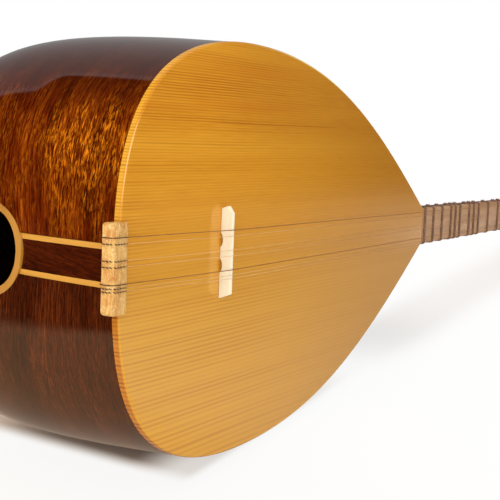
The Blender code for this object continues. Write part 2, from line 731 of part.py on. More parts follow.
def head_ring(along):
    """Section of the head, upright at the neck and square to the head's face beyond it."""
    half, depth, squareness = head_size(along)
    points = []
    for angle in np.linspace(0, math.pi, BACK_ARC_STEPS + 1):
        across = math.copysign(abs(math.cos(angle)) ** (2 / squareness), math.cos(angle))
        down = math.sin(angle) ** (2 / squareness) if 0 < angle < math.pi else 0.0
        points.append((half * across, -RIM_DEPTH - (depth - RIM_DEPTH) * down))
    points += [(-half, -NECK_CORNER), (-half + NECK_CORNER, 0), (half - NECK_CORNER, 0), (half, -NECK_CORNER)]
    if along == 0:
        return [Vector((HEAD_START, y, z)) for y, z in points]
    return [head_point(along, y, z) for y, z in points]


def front_peg_places():
    """Axis point on the head's face and outward direction of each front peg."""
    up = head_point(0, 0, 1) - head_point(0, 0, 0)
    return [(FRONT_PEGS_FROM + i * PEG_SPACING, head_point(FRONT_PEGS_FROM + i * PEG_SPACING, 0, 0), up)
            for i in range(4)]


def side_peg_places():
    """Axis point on the head's upper side and outward direction of each side peg."""
    places = []
    for i in range(3):
        along = SIDE_PEGS_FROM + i * PEG_SPACING
        half, depth, squareness = head_size(along)
        places.append((along, head_point(along, half, -depth / 2), Vector((0, 1, 0))))
    return places


def add_head(bench):
    """The head, with a tapered hole for each peg."""
    stations = [0, HEAD_SHOULDER, HEAD_LENGTH - HEAD_TIP_ROUNDING, HEAD_LENGTH]
    head = bench.add("head", loft_mesh("head", [head_ring(along) for along in stations]), "head_wood")
    for number, (along, mouth, out) in enumerate(front_peg_places() + side_peg_places(), start=1):
        above, below = HEAD_WIDTH / 4, HEAD_WIDTH * 1.5
        radius = PEG_MOUTH_RADIUS + PEG_CLEARANCE
        name = f"peg_hole_{number}"
        mesh = cone_mesh(name, mouth + out * above, mouth - out * below, radius + PEG_TAPER * above,
                         radius - PEG_TAPER * below, PEG_SIDES * 2)
        boolean(head, bench.add_cutter(name, mesh))


def peg_mesh(name, shaft):
    """A peg along its own z axis, from its tip below the head's face to its flat handle above."""
    collar = PEG_NECK_LENGTH
    handle = collar + PEG_COLLAR_LENGTH
    wide, thick, long = PEG_HANDLE_WIDTH / 2, PEG_HANDLE_THICKNESS / 2, PEG_HANDLE_LENGTH
    tip = PEG_MOUTH_RADIUS - PEG_TAPER * shaft
    stem = PEG_MOUTH_RADIUS
    levels = [(-shaft, tip, tip), (0, stem, stem), (collar, stem, stem),
              (collar + PEG_COLLAR_LENGTH * 0.3, PEG_COLLAR_RADIUS, PEG_COLLAR_RADIUS),
              (handle - PEG_COLLAR_LENGTH * 0.3, PEG_COLLAR_RADIUS, PEG_COLLAR_RADIUS),
              (handle, stem, thick * 0.9), (handle + long * 0.25, wide * 0.55, thick * 0.85),
              (handle + long * 0.55, wide, thick), (handle + long * 0.8, wide * 0.95, thick * 0.9),
              (handle + long * 0.95, wide * 0.7, thick * 0.6), (handle + long, wide * 0.4, thick * 0.3)]
    rings = []
    for level, across, deep in levels:
        angles = [2 * math.pi * i / PEG_SIDES for i in range(PEG_SIDES)]
        rings.append([(across * math.cos(a), deep * math.sin(a), level) for a in angles])
    return loft_mesh(name, rings)


def add_pegs(bench):
    """Four pegs in the face and three in the upper side, each with its origin on its axis."""
    for number, (along, mouth, out) in enumerate(front_peg_places(), start=1):
        shaft = head_size(along)[1] + FRONT_PEG_TIP
        add_peg(bench, f"peg_front_{number}", mouth, out, shaft)
    for number, (along, mouth, out) in enumerate(side_peg_places(), start=1):
        shaft = 2 * head_size(along)[0] + SIDE_PEG_TIP
        add_peg(bench, f"peg_side_{number}", mouth, out, shaft)


def add_peg(bench, name, mouth, out, shaft):
    """One peg, with the width of its handle along the head."""
    peg = bench.add(name, peg_mesh(name, shaft), "peg_wood")
    along = (head_point(1, 0, 0) - head_point(0, 0, 0)).normalized()
    across = out.cross(along)
    turn = Matrix((along, across, out)).transposed()
    peg.matrix_local = Matrix.Translation(mouth) @ turn.to_4x4()


# Strings


def tangent_angle(point, radius, side):
    """Angle on a circle round the origin where a line from a point touches it, on one side."""
    distance = math.hypot(*point)
    return math.atan2(point[1], point[0]) + side * math.acos(radius / distance)


def winding(start_angle, sense, radius, pitch):
    """Angles and rises of the turns that a string makes on its peg."""
    steps = PEG_TURNS * WINDING_STEPS
    for i in range(steps + 1):
        angle = start_angle + sense * 2 * math.pi * i / WINDING_STEPS
        yield radius * math.cos(angle), radius * math.sin(angle), pitch * i / WINDING_STEPS


def string_run(number):
    """The stretch of a string from its hook under the string block to the nut."""
    radius = STRING_DIAMETERS[number] / 2
    off = GLUE_GAP + radius
    soft = STRING_BLOCK_ROUNDING
    block, bridge, nut = STRINGS_AT_BLOCK[number], STRINGS_AT_BRIDGE[number], STRINGS_AT_NUT[number]
    front, top, bottom = -STRING_BLOCK_OVERHANG, STRING_BLOCK_HEIGHT, -STRING_BLOCK_DROP
    nut_level = NUT_HEIGHT - NUT_SLOT_DEPTH + off
    return [
        Vector((front + STRING_TUCK, block, bottom - off)),
        Vector((front + soft - off / 2, block, bottom - off)),
        Vector((front - off, block, bottom + soft - off / 2)),
        Vector((front - off, block, top - soft + off / 2)),
        Vector((front + soft - off / 2, block, top + off)),
        Vector((STRING_BLOCK_OVERLAP, block, top + off)),
        Vector((BRIDGE_AT, bridge, BRIDGE_HEIGHT + GLUE_GAP + off)),
        Vector((NUT_AT, nut, nut_level)),
        Vector((NUT_AT + NUT_THICKNESS, nut, nut_level)),
    ]


def peg_radius(diameter):
    """Radius of a string's middle line on its peg, whose flats clear the stem."""
    return (PEG_MOUTH_RADIUS + GLUE_GAP + diameter / 2) / math.cos(math.pi / WINDING_STEPS)


def side_string_end(number, diameter):
    """Over the edge of the head and round a side peg."""
    along, mouth, out = side_peg_places()[number]
    half, depth, squareness = head_size(along)
    radius, off = peg_radius(diameter), GLUE_GAP + diameter / 2
    edge = along - HEAD_EDGE_LEAD
    lead_half = head_size(edge)[0]
    lead = head_point(edge, lead_half + off, off)
    start = tangent_angle((-HEAD_EDGE_LEAD, off + depth / 2), radius, -1)
    turns = []
    for x, z, rise in winding(start, -1, radius, diameter + WINDING_GAP):
        turns.append(head_point(along + x, half + SIDE_WINDING_START + rise, z - depth / 2))
    return [lead] + turns


def front_string_end(number, diameter, nut_y):
    """Round a front peg, on its lower side first."""
    along, mouth, out = front_peg_places()[number]
    radius = peg_radius(diameter)
    start = tangent_angle((-along, nut_y), radius, 1)
    turns = []
    for x, y, rise in winding(start, 1, radius, diameter + WINDING_GAP):
        turns.append(head_point(along + x, y, FRONT_WINDING_START + rise))
    return turns


def add_strings(bench):
    """Seven strings, the first three to the side pegs and the others to the front pegs."""
    sides = len(side_peg_places())
    gaps = []
    for number, diameter in enumerate(STRING_DIAMETERS):
        if number < sides:
            end = side_string_end(number, diameter)
        else:
            end = front_string_end(number - sides, diameter, STRINGS_AT_NUT[number])
        name = f"string_{number + 1}"
        finish = "wound_steel" if diameter == WOUND_STRING else "plain_steel"
        bench.add(name, line_curve(name, string_run(number) + end, diameter, FRET_SIDES), finish)
        gaps.append(least_gap(end, diameter, WINDING_STEPS))
    print("least gap between the turns on a peg, mm:", round(1000 * min(gaps), 3))


# Laying the instrument down


def solid_points(items):
    """All corners of some objects, as they lie in the world."""
    bpy.context.view_layer.update()
    view = bpy.context.evaluated_depsgraph_get()
    found = []
    for item in items:
        solid = item.evaluated_get(view)
        mesh = solid.to_mesh()
        found += [tuple(item.matrix_world @ vert.co) for vert in mesh.vertices]
        solid.to_mesh_clear()
    return np.array(found)


def resting_slope(body, head):
    """Angle at which the body's side and the head's side reach equally low."""
    low, high = 0.0, math.radians(30)
    for step in range(50):
        middle = (low + high) / 2
        drop = [min(points[:, 2] * math.cos(middle) - points[:, 0] * math.sin(middle)) for points in (body, head)]
        low, high = (middle, high) if drop[0] < drop[1] else (low, middle)
    return middle


def lay_down(bench):
    """Lay the instrument on its side, centred over the origin."""
    on_side = Matrix.Rotation(math.pi / 2 - REST_ROLL, 4, "X")
    bench.root.matrix_world = on_side
    pieces = [item for item in bench.pieces.objects if item.type != "EMPTY"]
    body = solid_points([item for item in pieces if item.name.startswith(("stave", "soundboard"))])
    head = solid_points([item for item in pieces if item.name.startswith(("head", "peg"))])
    sloped = Matrix.Rotation(resting_slope(body, head), 4, "Y") @ on_side
    bench.root.matrix_world = sloped
    corners = solid_points(pieces)
    low, high = corners.min(axis=0), corners.max(axis=0)
    middle = Vector(((low[0] + high[0]) / 2, (low[1] + high[1]) / 2, low[2]))
    bench.root.matrix_world = Matrix.Translation(-middle) @ sloped
    bpy.context.view_layer.update()


def build():
    """Make every piece of the instrument."""
    clear_scene()
    bench = Bench()
    add_soundboard(bench)
    add_staves(bench)
    add_tail_strips(bench)
    add_sound_hole_ring(bench)
    add_inner_blocks(bench)
    add_braces(bench)
    add_bridge(bench)
    add_string_block(bench)
    add_neck(bench)
    add_frets(bench)
    add_nut(bench)
    add_head(bench)
    add_pegs(bench)
    add_strings(bench)
    lay_down(bench)
    return bench


build()
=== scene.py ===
"""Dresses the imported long-neck baglama: finer wood, strings, frets and pegs, in a pale studio.

Every piece is modelled in the instrument's own frame (x to the head, y across the strings, z out of
the soundboard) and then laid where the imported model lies. Lengths are in metres.
"""

import json
import logging
import math
from dataclasses import dataclass
from enum import Enum
from typing import Any, Sequence

import bpy
import numpy as np
from mathutils import Matrix, Vector


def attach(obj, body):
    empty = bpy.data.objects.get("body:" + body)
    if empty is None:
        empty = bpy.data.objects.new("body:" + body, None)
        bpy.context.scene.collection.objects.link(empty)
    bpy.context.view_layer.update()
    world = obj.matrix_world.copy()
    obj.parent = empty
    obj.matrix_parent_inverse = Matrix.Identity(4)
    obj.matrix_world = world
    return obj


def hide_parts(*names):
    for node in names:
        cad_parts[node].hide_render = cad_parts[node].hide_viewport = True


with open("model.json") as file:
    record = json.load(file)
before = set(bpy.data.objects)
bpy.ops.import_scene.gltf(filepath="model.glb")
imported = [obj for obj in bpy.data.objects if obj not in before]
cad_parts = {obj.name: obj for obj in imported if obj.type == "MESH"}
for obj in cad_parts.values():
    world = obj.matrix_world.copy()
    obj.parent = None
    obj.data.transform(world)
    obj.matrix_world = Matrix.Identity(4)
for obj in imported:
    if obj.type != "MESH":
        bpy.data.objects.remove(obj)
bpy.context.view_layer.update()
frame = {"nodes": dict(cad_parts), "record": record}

LOG = logging.getLogger("baglama")
BODY = "instrument"
WELD = 0.000002
Colour = tuple[float, float, float, float]
Pair = tuple[float, float]
Triple = tuple[float, float, float]


def srgb(red: int, green: int, blue: int) -> Colour:
    """Turns 0 to 255 screen values into the linear colour that a shader takes."""
    channels = [value / 255 for value in (red, green, blue)]
    linear = [c / 12.92 if c <= 0.04045 else ((c + 0.055) / 1.055) ** 2.4 for c in channels]
    return (linear[0], linear[1], linear[2], 1.0)


# The instrument's frame


@dataclass(frozen=True)
class InstrumentAxes:
    """The instrument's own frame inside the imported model."""

    origin: Vector
    turn: Matrix

    @classmethod
    def from_frame(cls, record: dict[str, Any], nodes: dict[str, Any]) -> "InstrumentAxes":
        """Reads the axes from the bridge's slide and the soundboard's mount.

        Args:
            record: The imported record.
            nodes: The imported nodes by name.

        Returns:
            The frame whose origin is the middle of the tail on the soundboard's face.
        """
        slide = next(joint for joint in record["behaviour"]["joints"] if joint["name"] == "bridge_shift")
        face = next(mount for mount in record["mounts"] if mount["name"] == "soundboard_face")
        along = Vector(slide["axis"]).normalized()
        outward = Vector(face["axis"]).normalized()
        turn = Matrix((along, outward.cross(along), outward)).transposed()
        own = np.array([corner.co for corner in nodes["soundboard"].data.vertices]) @ np.array(turn)
        low, high = own.min(axis=0), own.max(axis=0)
        return cls(turn @ Vector((low[0], (low[1] + high[1]) / 2, high[2])), turn)

    def world(self, points: np.ndarray) -> np.ndarray:
        """Moves points from the instrument's frame to the model's."""
        return np.asarray(points) @ np.array(self.turn).T + np.array(self.origin)

    def local(self, points: np.ndarray) -> np.ndarray:
        """Moves points from the model's frame to the instrument's."""
        return (np.asarray(points) - np.array(self.origin)) @ np.array(self.turn)


# Shader maths


class Value:
    """A number socket that Python's own operators work on."""

    def __init__(self, tree: Any, socket: Any) -> None:
        """Wraps an output socket of a node tree."""
        self.tree = tree
        self.socket = socket

    def _math(self, operation: str, *terms: Any) -> "Value":
        """Adds one Math node.

        Args:
            operation: What the node works out.
            terms: Its inputs, each a number or a value.

        Returns:
            The node's result.
        """
        node = self.tree.nodes.new("ShaderNodeMath")
        node.operation = operation
        for place, term in zip(node.inputs, terms):
            if isinstance(term, Value):
                self.tree.links.new(term.socket, place)
            else:
                place.default_value = term
        return Value(self.tree, node.outputs[0])

    def __add__(self, other: Any) -> "Value":
        """Adds."""
        return self._math("ADD", self, other)

    def __radd__(self, other: Any) -> "Value":
        """Adds, from the right."""
        return self._math("ADD", other, self)

    def __sub__(self, other: Any) -> "Value":
        """Subtracts."""
        return self._math("SUBTRACT", self, other)

    def __rsub__(self, other: Any) -> "Value":
        """Subtracts from a number."""
        return self._math("SUBTRACT", other, self)

    def __mul__(self, other: Any) -> "Value":
        """Multiplies."""
        return self._math("MULTIPLY", self, other)

    def __rmul__(self, other: Any) -> "Value":
        """Multiplies, from the right."""
        return self._math("MULTIPLY", other, self)

    def __pow__(self, other: Any) -> "Value":
        """Raises to a power."""
        return self._math("POWER", self, other)

    def sine(self) -> "Value":
        """Sine of the value."""
        return self._math("SINE", self)

    def size(self) -> "Value":
        """The value without its sign."""
        return self._math("ABSOLUTE", self)

    def largest(self, other: Any) -> "Value":
        """The larger of two values."""
        return self._math("MAXIMUM", self, other)


@dataclass(frozen=True)
class Pattern:
    """A cloudy pattern: its rate on each axis, its octaves, its roughness and its warp."""

    rate: Triple
    octaves: float = 3.0
    rough: float = 0.5
    warp: float = 0.0


class Wiring:
    """Builds a node tree step by step."""

    def __init__(self, tree: Any) -> None:
        """Starts with a tree of nodes."""
        self.tree = tree

    def node(self, kind: str, settings: dict[str, Any] | None = None,
             sockets: dict[str | int, Any] | None = None) -> Any:
        """Adds a node.

        Args:
            kind: The node's type.
            settings: Attributes to set first.
            sockets: Values or links of its inputs, by name or number.

        Returns:
            The new node.
        """
        node = self.tree.nodes.new(kind)
        for key, value in (settings or {}).items():
            setattr(node, key, value)
        for key, value in (sockets or {}).items():
            self.feed(node.inputs[key], value)
        return node

    def feed(self, place: Any, value: Any) -> None:
        """Links or sets one input.

        Args:
            place: The input.
            value: A value or a socket to link, or what to set.
        """
        if isinstance(value, Value):
            value = value.socket
        if isinstance(value, bpy.types.NodeSocket):
            self.tree.links.new(value, place)
        else:
            place.default_value = value

    def stretched(self, place: Any, scale: Sequence[float], shift: Sequence[float] = (0, 0, 0),
                  turn: float = 0.0) -> Any:
        """A place turned about z by an angle in radians, then scaled on each axis and shifted."""
        if turn:
            place = self.node("ShaderNodeMapping", None,
                              {"Vector": place, "Rotation": (0, 0, turn)}).outputs[0]
        return self.node("ShaderNodeMapping", None,
                         {"Vector": place, "Scale": tuple(scale), "Location": tuple(shift)}).outputs[0]

    def clouds(self, place: Any, pattern: Pattern, shift: Sequence[float] = (0, 0, 0),
               turn: float = 0.0) -> Value:
        """A cloudy pattern from 0 to 1 on a place, moved and turned."""
        node = self.node("ShaderNodeTexNoise", None, {
            "Vector": self.stretched(place, pattern.rate, shift, turn), "Scale": 1.0,
            "Detail": pattern.octaves, "Roughness": pattern.rough, "Distortion": pattern.warp})
        return Value(self.tree, node.outputs["Fac"])

    def split(self, place: Any) -> tuple[Value, Value, Value]:
        """The three parts of a vector."""
        node = self.node("ShaderNodeSeparateXYZ", None, {"Vector": place})
        return tuple(Value(self.tree, part) for part in node.outputs)

    def join(self, x: Any, y: Any, z: Any) -> Any:
        """A vector from three numbers."""
        return self.node("ShaderNodeCombineXYZ", None, {"X": x, "Y": y, "Z": z}).outputs[0]

    def distance(self, place: Any, point: Triple) -> Value:
        """How far a place is from a fixed point."""
        node = self.node("ShaderNodeVectorMath", {"operation": "DISTANCE"}, {0: place, 1: point})
        return Value(self.tree, node.outputs["Value"])

    def ramp(self, value: Value, stops: Sequence[tuple[float, Colour]]) -> Any:
        """Turns a number into a colour.

        Args:
            value: The number.
            stops: Places from 0 to 1, each with its colour.

        Returns:
            The colour's socket.
        """
        node = self.node("ShaderNodeValToRGB", None, {"Fac": value})
        points = node.color_ramp.elements
        while len(points) < len(stops):
            points.new(1.0)
        for point, (at, colour) in zip(points, stops):
            point.position = at
            point.color = colour
        return node.outputs["Color"]

    def step(self, value: Value, low: float, high: float) -> Value:
        """A mask that goes smoothly from 0 where the value is low to 1 where it is high."""
        node = self.node("ShaderNodeMapRange", {"interpolation_type": "SMOOTHSTEP"}, {
            "Value": value, "From Min": low, "From Max": high})
        return Value(self.tree, node.outputs["Result"])

    def mix(self, share: Any, first: Any, second: Any) -> Any:
        """Mixes two colours, with as much of the second as the share says."""
        return self.node("ShaderNodeMix", {"data_type": "RGBA", "blend_type": "MIX"},
                         {"Factor": share, 6: first, 7: second}).outputs[2]

    def ray(self, kind: str) -> Value:
        """1 for rays of a kind, such as camera or glossy ones, else 0."""
        return Value(self.tree, self.node("ShaderNodeLightPath").outputs[f"Is {kind} Ray"])

    def glow(self, colour: Any) -> Any:
        """A shader that shines in one colour."""
        return self.node("ShaderNodeEmission", None, {"Color": colour, "Strength": 1.0}).outputs[0]

    def blend(self, share: Any, first: Any, second: Any) -> Any:
        """Mixes two shaders, with as much of the second as the share says."""
        return self.node("ShaderNodeMixShader", None, {0: share, 1: first, 2: second}).outputs[0]


class Recipe(Wiring):
    """Builds one material of the instrument."""

    def __init__(self, name: str, axes: InstrumentAxes) -> None:
        """Starts a material with a bare Principled shader.

        Args:
            name: The material's name.
            axes: The instrument's frame.
        """
        self.material = bpy.data.materials.new(name)
        self.material.use_nodes = True
        super().__init__(self.material.node_tree)
        self.shader = self.tree.nodes["Principled BSDF"]
        self.axes = axes

    def instrument_place(self) -> Any:
        """A point's place in the instrument's frame."""
        place = self.node("ShaderNodeTexCoord").outputs["Object"]
        return self.node("ShaderNodeMapping", {"vector_type": "TEXTURE"}, {
            "Vector": place, "Location": tuple(self.axes.origin),
            "Rotation": tuple(self.axes.turn.to_euler())}).outputs[0]

    def flow_place(self) -> Any:
        """A point's place along and across its own piece, in metres."""
        return self.node("ShaderNodeUVMap", {"uv_map": "grain"}).outputs[0]

    def bump(self, height: Value, distance: float, strength: float = 1.0) -> None:
        """Gives the shader a relief, in which a height of 1 stands as high as the distance."""
        node = self.node("ShaderNodeBump", None,
                         {"Height": height, "Distance": distance, "Strength": strength})
        self.feed(self.shader.inputs["Normal"], node.outputs["Normal"])

    def finish(self, **sockets: Any) -> None:
        """Sets the shader's sockets, named with underscores for spaces."""
        for key, value in sockets.items():
            self.feed(self.shader.inputs[key.replace("_", " ")], value)


# Finishes


class Grain(Enum):
    """Which way a wooden piece's grain runs."""

    ALONG = "along"
    ACROSS = "across"
    FLOW = "flow"


@dataclass(frozen=True)
class Finish:
    """What all finishes share: a name, and one material painted by the finish's own recipe."""

    name: str

    def material(self, axes: InstrumentAxes) -> Any:
        """Builds the material.

        Args:
            axes: The instrument's frame.

        Returns:
            The finished material.
        """
        recipe = Recipe(self.name, axes)
        self.paint(recipe)
        return recipe.material

    def paint(self, recipe: Recipe) -> None:
        """Adds the finish's own nodes and sets the shader's sockets.

        Args:
            recipe: The material's recipe.
        """
        raise NotImplementedError(self.name)


@dataclass(frozen=True)
class Mahogany(Finish):
    """Figured red-brown wood under thick clear gloss lacquer."""

    seed: float
    tones: tuple[Colour, Colour, Colour, Colour] = (srgb(48, 9, 1), srgb(84, 23, 2), srgb(108, 40, 5),
                                                    srgb(154, 70, 11))
    tone_stops: tuple[float, float, float, float] = (0.40, 0.475, 0.54, 0.635)
    # Colour of the figure's flecks, and of the painted sheen near one spot.
    figure_and_sheen: Colour = srgb(240, 136, 20)
    pore: Colour = srgb(50, 12, 1)
    pore_share: float = 0.6
    # Painted shade: the upper side of the bowl is darkened towards this colour.
    shaded: Colour = srgb(50, 16, 4)
    shaded_y: Pair = (0.072, 0.112)
    shaded_share: float = 0.85
    figure: float = 0.35
    # Painted sheen: centre and reach of the spot where the figure is painted brighter.
    painted_sheen_at: Triple = (0.008, 0.060, -0.030)
    painted_sheen_reach: Pair = (0.042, 0.0084)
    glow_flecks: Pair = (0.46, 0.62)
    glow_patches: Pair = (0.42, 0.60)
    pore_flecks: Pair = (0.54, 0.64)
    slant: float = 0.0
    bend: float = 0.007
    relief: float = 0.0012
    drift: Pattern = Pattern((18, 50, 50), 3, 0.55)
    broad: Pattern = Pattern((7, 55, 55))
    streak: Pattern = Pattern((48, 800, 800), 4, 0.62)
    fine: Pattern = Pattern((160, 1500, 1500), 3, 0.65)
    mottle: Pattern = Pattern((220, 1050, 1050), 4, 0.70, 0.20)
    cloud: Pattern = Pattern((44, 110, 110), 3, 0.6)
    pores: Pattern = Pattern((230, 1900, 1900), 2, 0.6)
    wave: Pattern = Pattern((22, 22, 22), 1)

    def paint(self, recipe: Recipe) -> None:
        """Lays streaks, a figure with a painted sheen near one spot and pores along the grain, with painted
        shade on the upper side.
        """
        spot = recipe.instrument_place()
        place = recipe.flow_place()
        if self.slant:
            place = recipe.stretched(place, (1, 1, 1), turn=self.slant)
        shift = (self.seed * 3.1, self.seed * 1.7, self.seed)
        along, across, depth = recipe.split(place)
        drift = recipe.clouds(place, self.drift, shift)
        bent = recipe.join(along, across + (drift - 0.5) * self.bend, depth)
        streak = recipe.clouds(bent, self.streak, shift)
        fine = recipe.clouds(bent, self.fine, shift)
        tone = streak * 0.42 + fine * 0.30 + recipe.clouds(bent, self.broad, shift) * 0.28
        colour = recipe.ramp(tone, list(zip(self.tone_stops, self.tones)))
        # Painted sheen: the flecks brighten near one spot on the upper side, over the figure that runs
        # everywhere.
        near = recipe.step(recipe.distance(spot, self.painted_sheen_at), *self.painted_sheen_reach)
        patches = recipe.step(recipe.clouds(bent, self.cloud, shift), *self.glow_patches)
        share = (near * (0.40 + patches * 0.62) + patches * 0.22) * self.figure
        mottle = recipe.clouds(bent, self.mottle, shift)
        glow = recipe.step(mottle * 0.65 + fine * 0.35, *self.glow_flecks)
        colour = recipe.mix(glow * share, colour, self.figure_and_sheen)
        pores = recipe.step(recipe.clouds(bent, self.pores, shift), *self.pore_flecks)
        colour = recipe.mix(pores * self.pore_share, colour, self.pore)
        # Painted shade: darker on the upper side.
        top = recipe.step(recipe.split(spot)[1], *self.shaded_y)
        colour = recipe.mix(top * self.shaded_share, colour, self.shaded)
        wave = recipe.clouds(place, self.wave, shift)
        recipe.bump(wave + streak * 0.01, self.relief, 0.35)
        recipe.finish(Base_Color=colour, Roughness=0.5, Specular_IOR_Level=0.0, Coat_Weight=1.0,
                      Coat_Roughness=0.03, Coat_IOR=1.5)


@dataclass(frozen=True)
class Spruce(Finish):
    """Straight-grained soundboard wood under amber lacquer, closer-ringed on its upper side."""

    name: str = "lacquered_spruce"
    pale: Colour = srgb(232, 166, 46)
    body: Colour = srgb(222, 152, 34)
    band: Colour = srgb(202, 128, 24)
    # Painted light: the lower side of the board is painted lighter and yellower.
    lower: Colour = srgb(219, 160, 46)
    line: Colour = srgb(166, 82, 5)
    flare: Colour = srgb(206, 120, 16)
    # Painted shade: the board darkens towards the neck, most on its upper side.
    far: Colour = srgb(150, 94, 28)
    # Painted light: paler near the heel on the middle and lower side.
    painted_heel_light: Colour = srgb(188, 140, 92)
    end_grain: Colour = srgb(196, 118, 30)
    rim_line: Colour = srgb(122, 62, 12)
    # Painted highlight on the rounded edge of the board towards the neck.
    edge: Colour = srgb(255, 224, 150)
    ring_rate: float = 3000.0
    ring_widening: float = 5200.0
    ring_jitter: float = 7.0
    ring_sharpness: float = 1.6
    bend: float = 0.007
    lower_side: Pair = (0.04, -0.04)
    flare_at: Pair = (0.13, 0.099)
    flare_stretch: float = 0.2
    flare_reach: Pair = (0.026, 0.008)
    calm_at: float = 0.012
    calm_reach: Pair = (0.050, 0.020)
    streak_at: float = 0.0785
    streak_width: float = 0.0007
    painted_heel_light_side: Pair = (0.045, 0.005)
    painted_falloff_span: Pair = (0.06, 0.40)
    drift: Pattern = Pattern((2.5, 9, 9), 2)
    unevenness: Pattern = Pattern((0, 150, 0), 3, 0.6)
    ring_depth: Pattern = Pattern((3.5, 200, 0), 2, 0.6)
    broad: Pattern = Pattern((0, 55, 0), 2)
    fibre: Pattern = Pattern((45, 1700, 1700), 3, 0.55)

    def paint(self, recipe: Recipe) -> None:
        """Lays the rings, the flares near the tail and the rim, with painted light on the lower side and near
        the heel, painted shade towards the neck and on the upper side, and a painted highlight on the rounded
        edge.
        """
        place = recipe.instrument_place()
        along, across, level = recipe.split(place)
        wander = across + (recipe.clouds(place, self.drift) - 0.5) * self.bend
        drifted = recipe.join(along, wander, 0.0)
        lines = self.rings(recipe, drifted, wander)
        below = recipe.step(across, *self.lower_side)
        broad = recipe.clouds(drifted, self.broad, (0, 0, 7))
        fibre = recipe.clouds(place, self.fibre)
        colour = recipe.ramp(broad * 0.6 + fibre * 0.4, [(0.32, self.band), (0.50, self.body),
                                                         (0.70, self.pale)])
        # Painted light: lighter, yellower colour on the lower side.
        colour = recipe.mix(below * 0.8, colour, self.lower)
        flared = self.flares(recipe, place, along, wander)
        colour = recipe.mix(flared * recipe.step(broad, 0.40, 0.56) * 0.6, colour, self.flare)
        calm = recipe.step((across - self.calm_at).size(), *self.calm_reach) * recipe.step(along, 0.0, 0.05)
        plain = (recipe.step(along, 0.09, 0.22) * 0.55).largest(calm * 0.50)
        colour = recipe.mix(lines * (0.47 + flared * 0.33 - below * 0.05) * (1.0 - plain), colour, self.line)
        streak = recipe.step((wander - self.streak_at).size(), self.streak_width, 0.0)
        streak = streak * recipe.step(along, 0.07, 0.12) * recipe.step(along, 0.27, 0.22)
        colour = recipe.mix(streak * 0.6, colour, self.line)
        # Painted shade towards the neck on the upper side, painted light near the heel on the middle and
        # lower side.
        far = recipe.mix(recipe.step(across, *self.painted_heel_light_side), self.far, self.painted_heel_light)
        colour = recipe.mix(recipe.step(along, *self.painted_falloff_span) * 0.58, colour, far)
        # Painted shade: the upper side is darkened a little from near the bridge on.
        upper = recipe.step(across, 0.045, 0.085) * recipe.step(along, 0.07, 0.16)
        colour = recipe.mix(upper * 0.16, colour, self.far)
        side = recipe.step(level, -0.0008 + below * 0.0006, -0.0020 + below * 0.0008)
        ticks = (0.6 + below * 0.25) * (lines * 0.9 + 0.1)
        rim = recipe.mix(ticks, recipe.mix(below, self.pale, self.end_grain), self.rim_line)
        colour = recipe.mix(side, colour, rim)
        # Painted highlight: pale cream on the rounded edge, from beyond the bridge to the neck.
        rounded = recipe.step(level, -0.00002, -0.00012) * recipe.step(along, 0.12, 0.22)
        colour = recipe.mix(rounded, colour, self.edge)
        recipe.bump(lines * -0.6 + fibre * 0.3, 0.00002, 0.6)
        recipe.finish(Base_Color=colour, Roughness=0.5, Specular_IOR_Level=0.0, Coat_Weight=1.0,
                      Coat_Roughness=0.15, Coat_IOR=1.7)

    def rings(self, recipe: Recipe, drifted: Any, wander: Value) -> Value:
        """The year rings as dark lines, some of them fainter.

        Args:
            recipe: The material's recipe.
            drifted: Place along and across the drifting grain.
            wander: Place across the drifting grain.

        Returns:
            The lines' strength from 0 to 1.
        """
        phase = wander * self.ring_rate + wander * wander * self.ring_widening
        uneven = recipe.clouds(drifted, self.unevenness)
        ring = (phase + uneven * self.ring_jitter).sine() * 0.5 + 0.5
        depth = recipe.clouds(drifted, self.ring_depth, (0, 0, 3))
        return ring ** self.ring_sharpness * (0.35 + recipe.step(depth, 0.38, 0.60) * 0.65)

    def flares(self, recipe: Recipe, place: Any, along: Value, wander: Value) -> Value:
        """A mask of the flares: a long patch on the upper side and a band by the tail.

        Args:
            recipe: The material's recipe.
            place: Place in the instrument's frame.
            along: Its part along the instrument.
            wander: Place across the drifting grain.

        Returns:
            The mask.
        """
        squeezed = recipe.stretched(place, (self.flare_stretch, 1, 1))
        centre = (self.flare_at[0] * self.flare_stretch, self.flare_at[1], 0.0)
        patch = recipe.step(recipe.distance(squeezed, centre), *self.flare_reach)
        tail_end = recipe.step((wander - self.streak_at - 0.004).size(), 0.009, 0.002)
        return patch.largest(tail_end * recipe.step(along, 0.13, 0.05))


@dataclass(frozen=True)
class PlainWood(Finish):
    """Any other wood: a body colour, darker lines along the grain and small pores."""

    pale: Colour
    dark: Colour
    grain: Grain = Grain.ALONG
    roughness: float = 0.5
    coat: float = 0.0
    contrast: float = 1.0
    slow: Pattern = Pattern((12, 110, 110), 3, 0.55, 0.5)
    fast: Pattern = Pattern((70, 1500, 1500), 3, 0.6)
    spots: Pattern = Pattern((900, 900, 900), 2)

    def paint(self, recipe: Recipe) -> None:
        """Lays slow and fast lines along the grain, and pores."""
        place = recipe.flow_place() if self.grain is Grain.FLOW else recipe.instrument_place()
        turn = math.pi / 2 if self.grain is Grain.ACROSS else 0.0
        slow = recipe.clouds(place, self.slow, turn=turn)
        fast = recipe.clouds(place, self.fast, turn=turn)
        spots = recipe.clouds(place, self.spots)
        spread = 0.16 / self.contrast
        colour = recipe.ramp(slow * 0.5 + fast * 0.4 + spots * 0.1,
                             [(0.5 - spread, self.dark), (0.5 + spread, self.pale)])
        recipe.bump(fast * 0.7 + spots * 0.3, 0.00006, 0.7)
        recipe.finish(Base_Color=colour, Roughness=self.roughness + (fast - 0.5) * 0.15,
                      Coat_Weight=self.coat, Coat_Roughness=0.12)


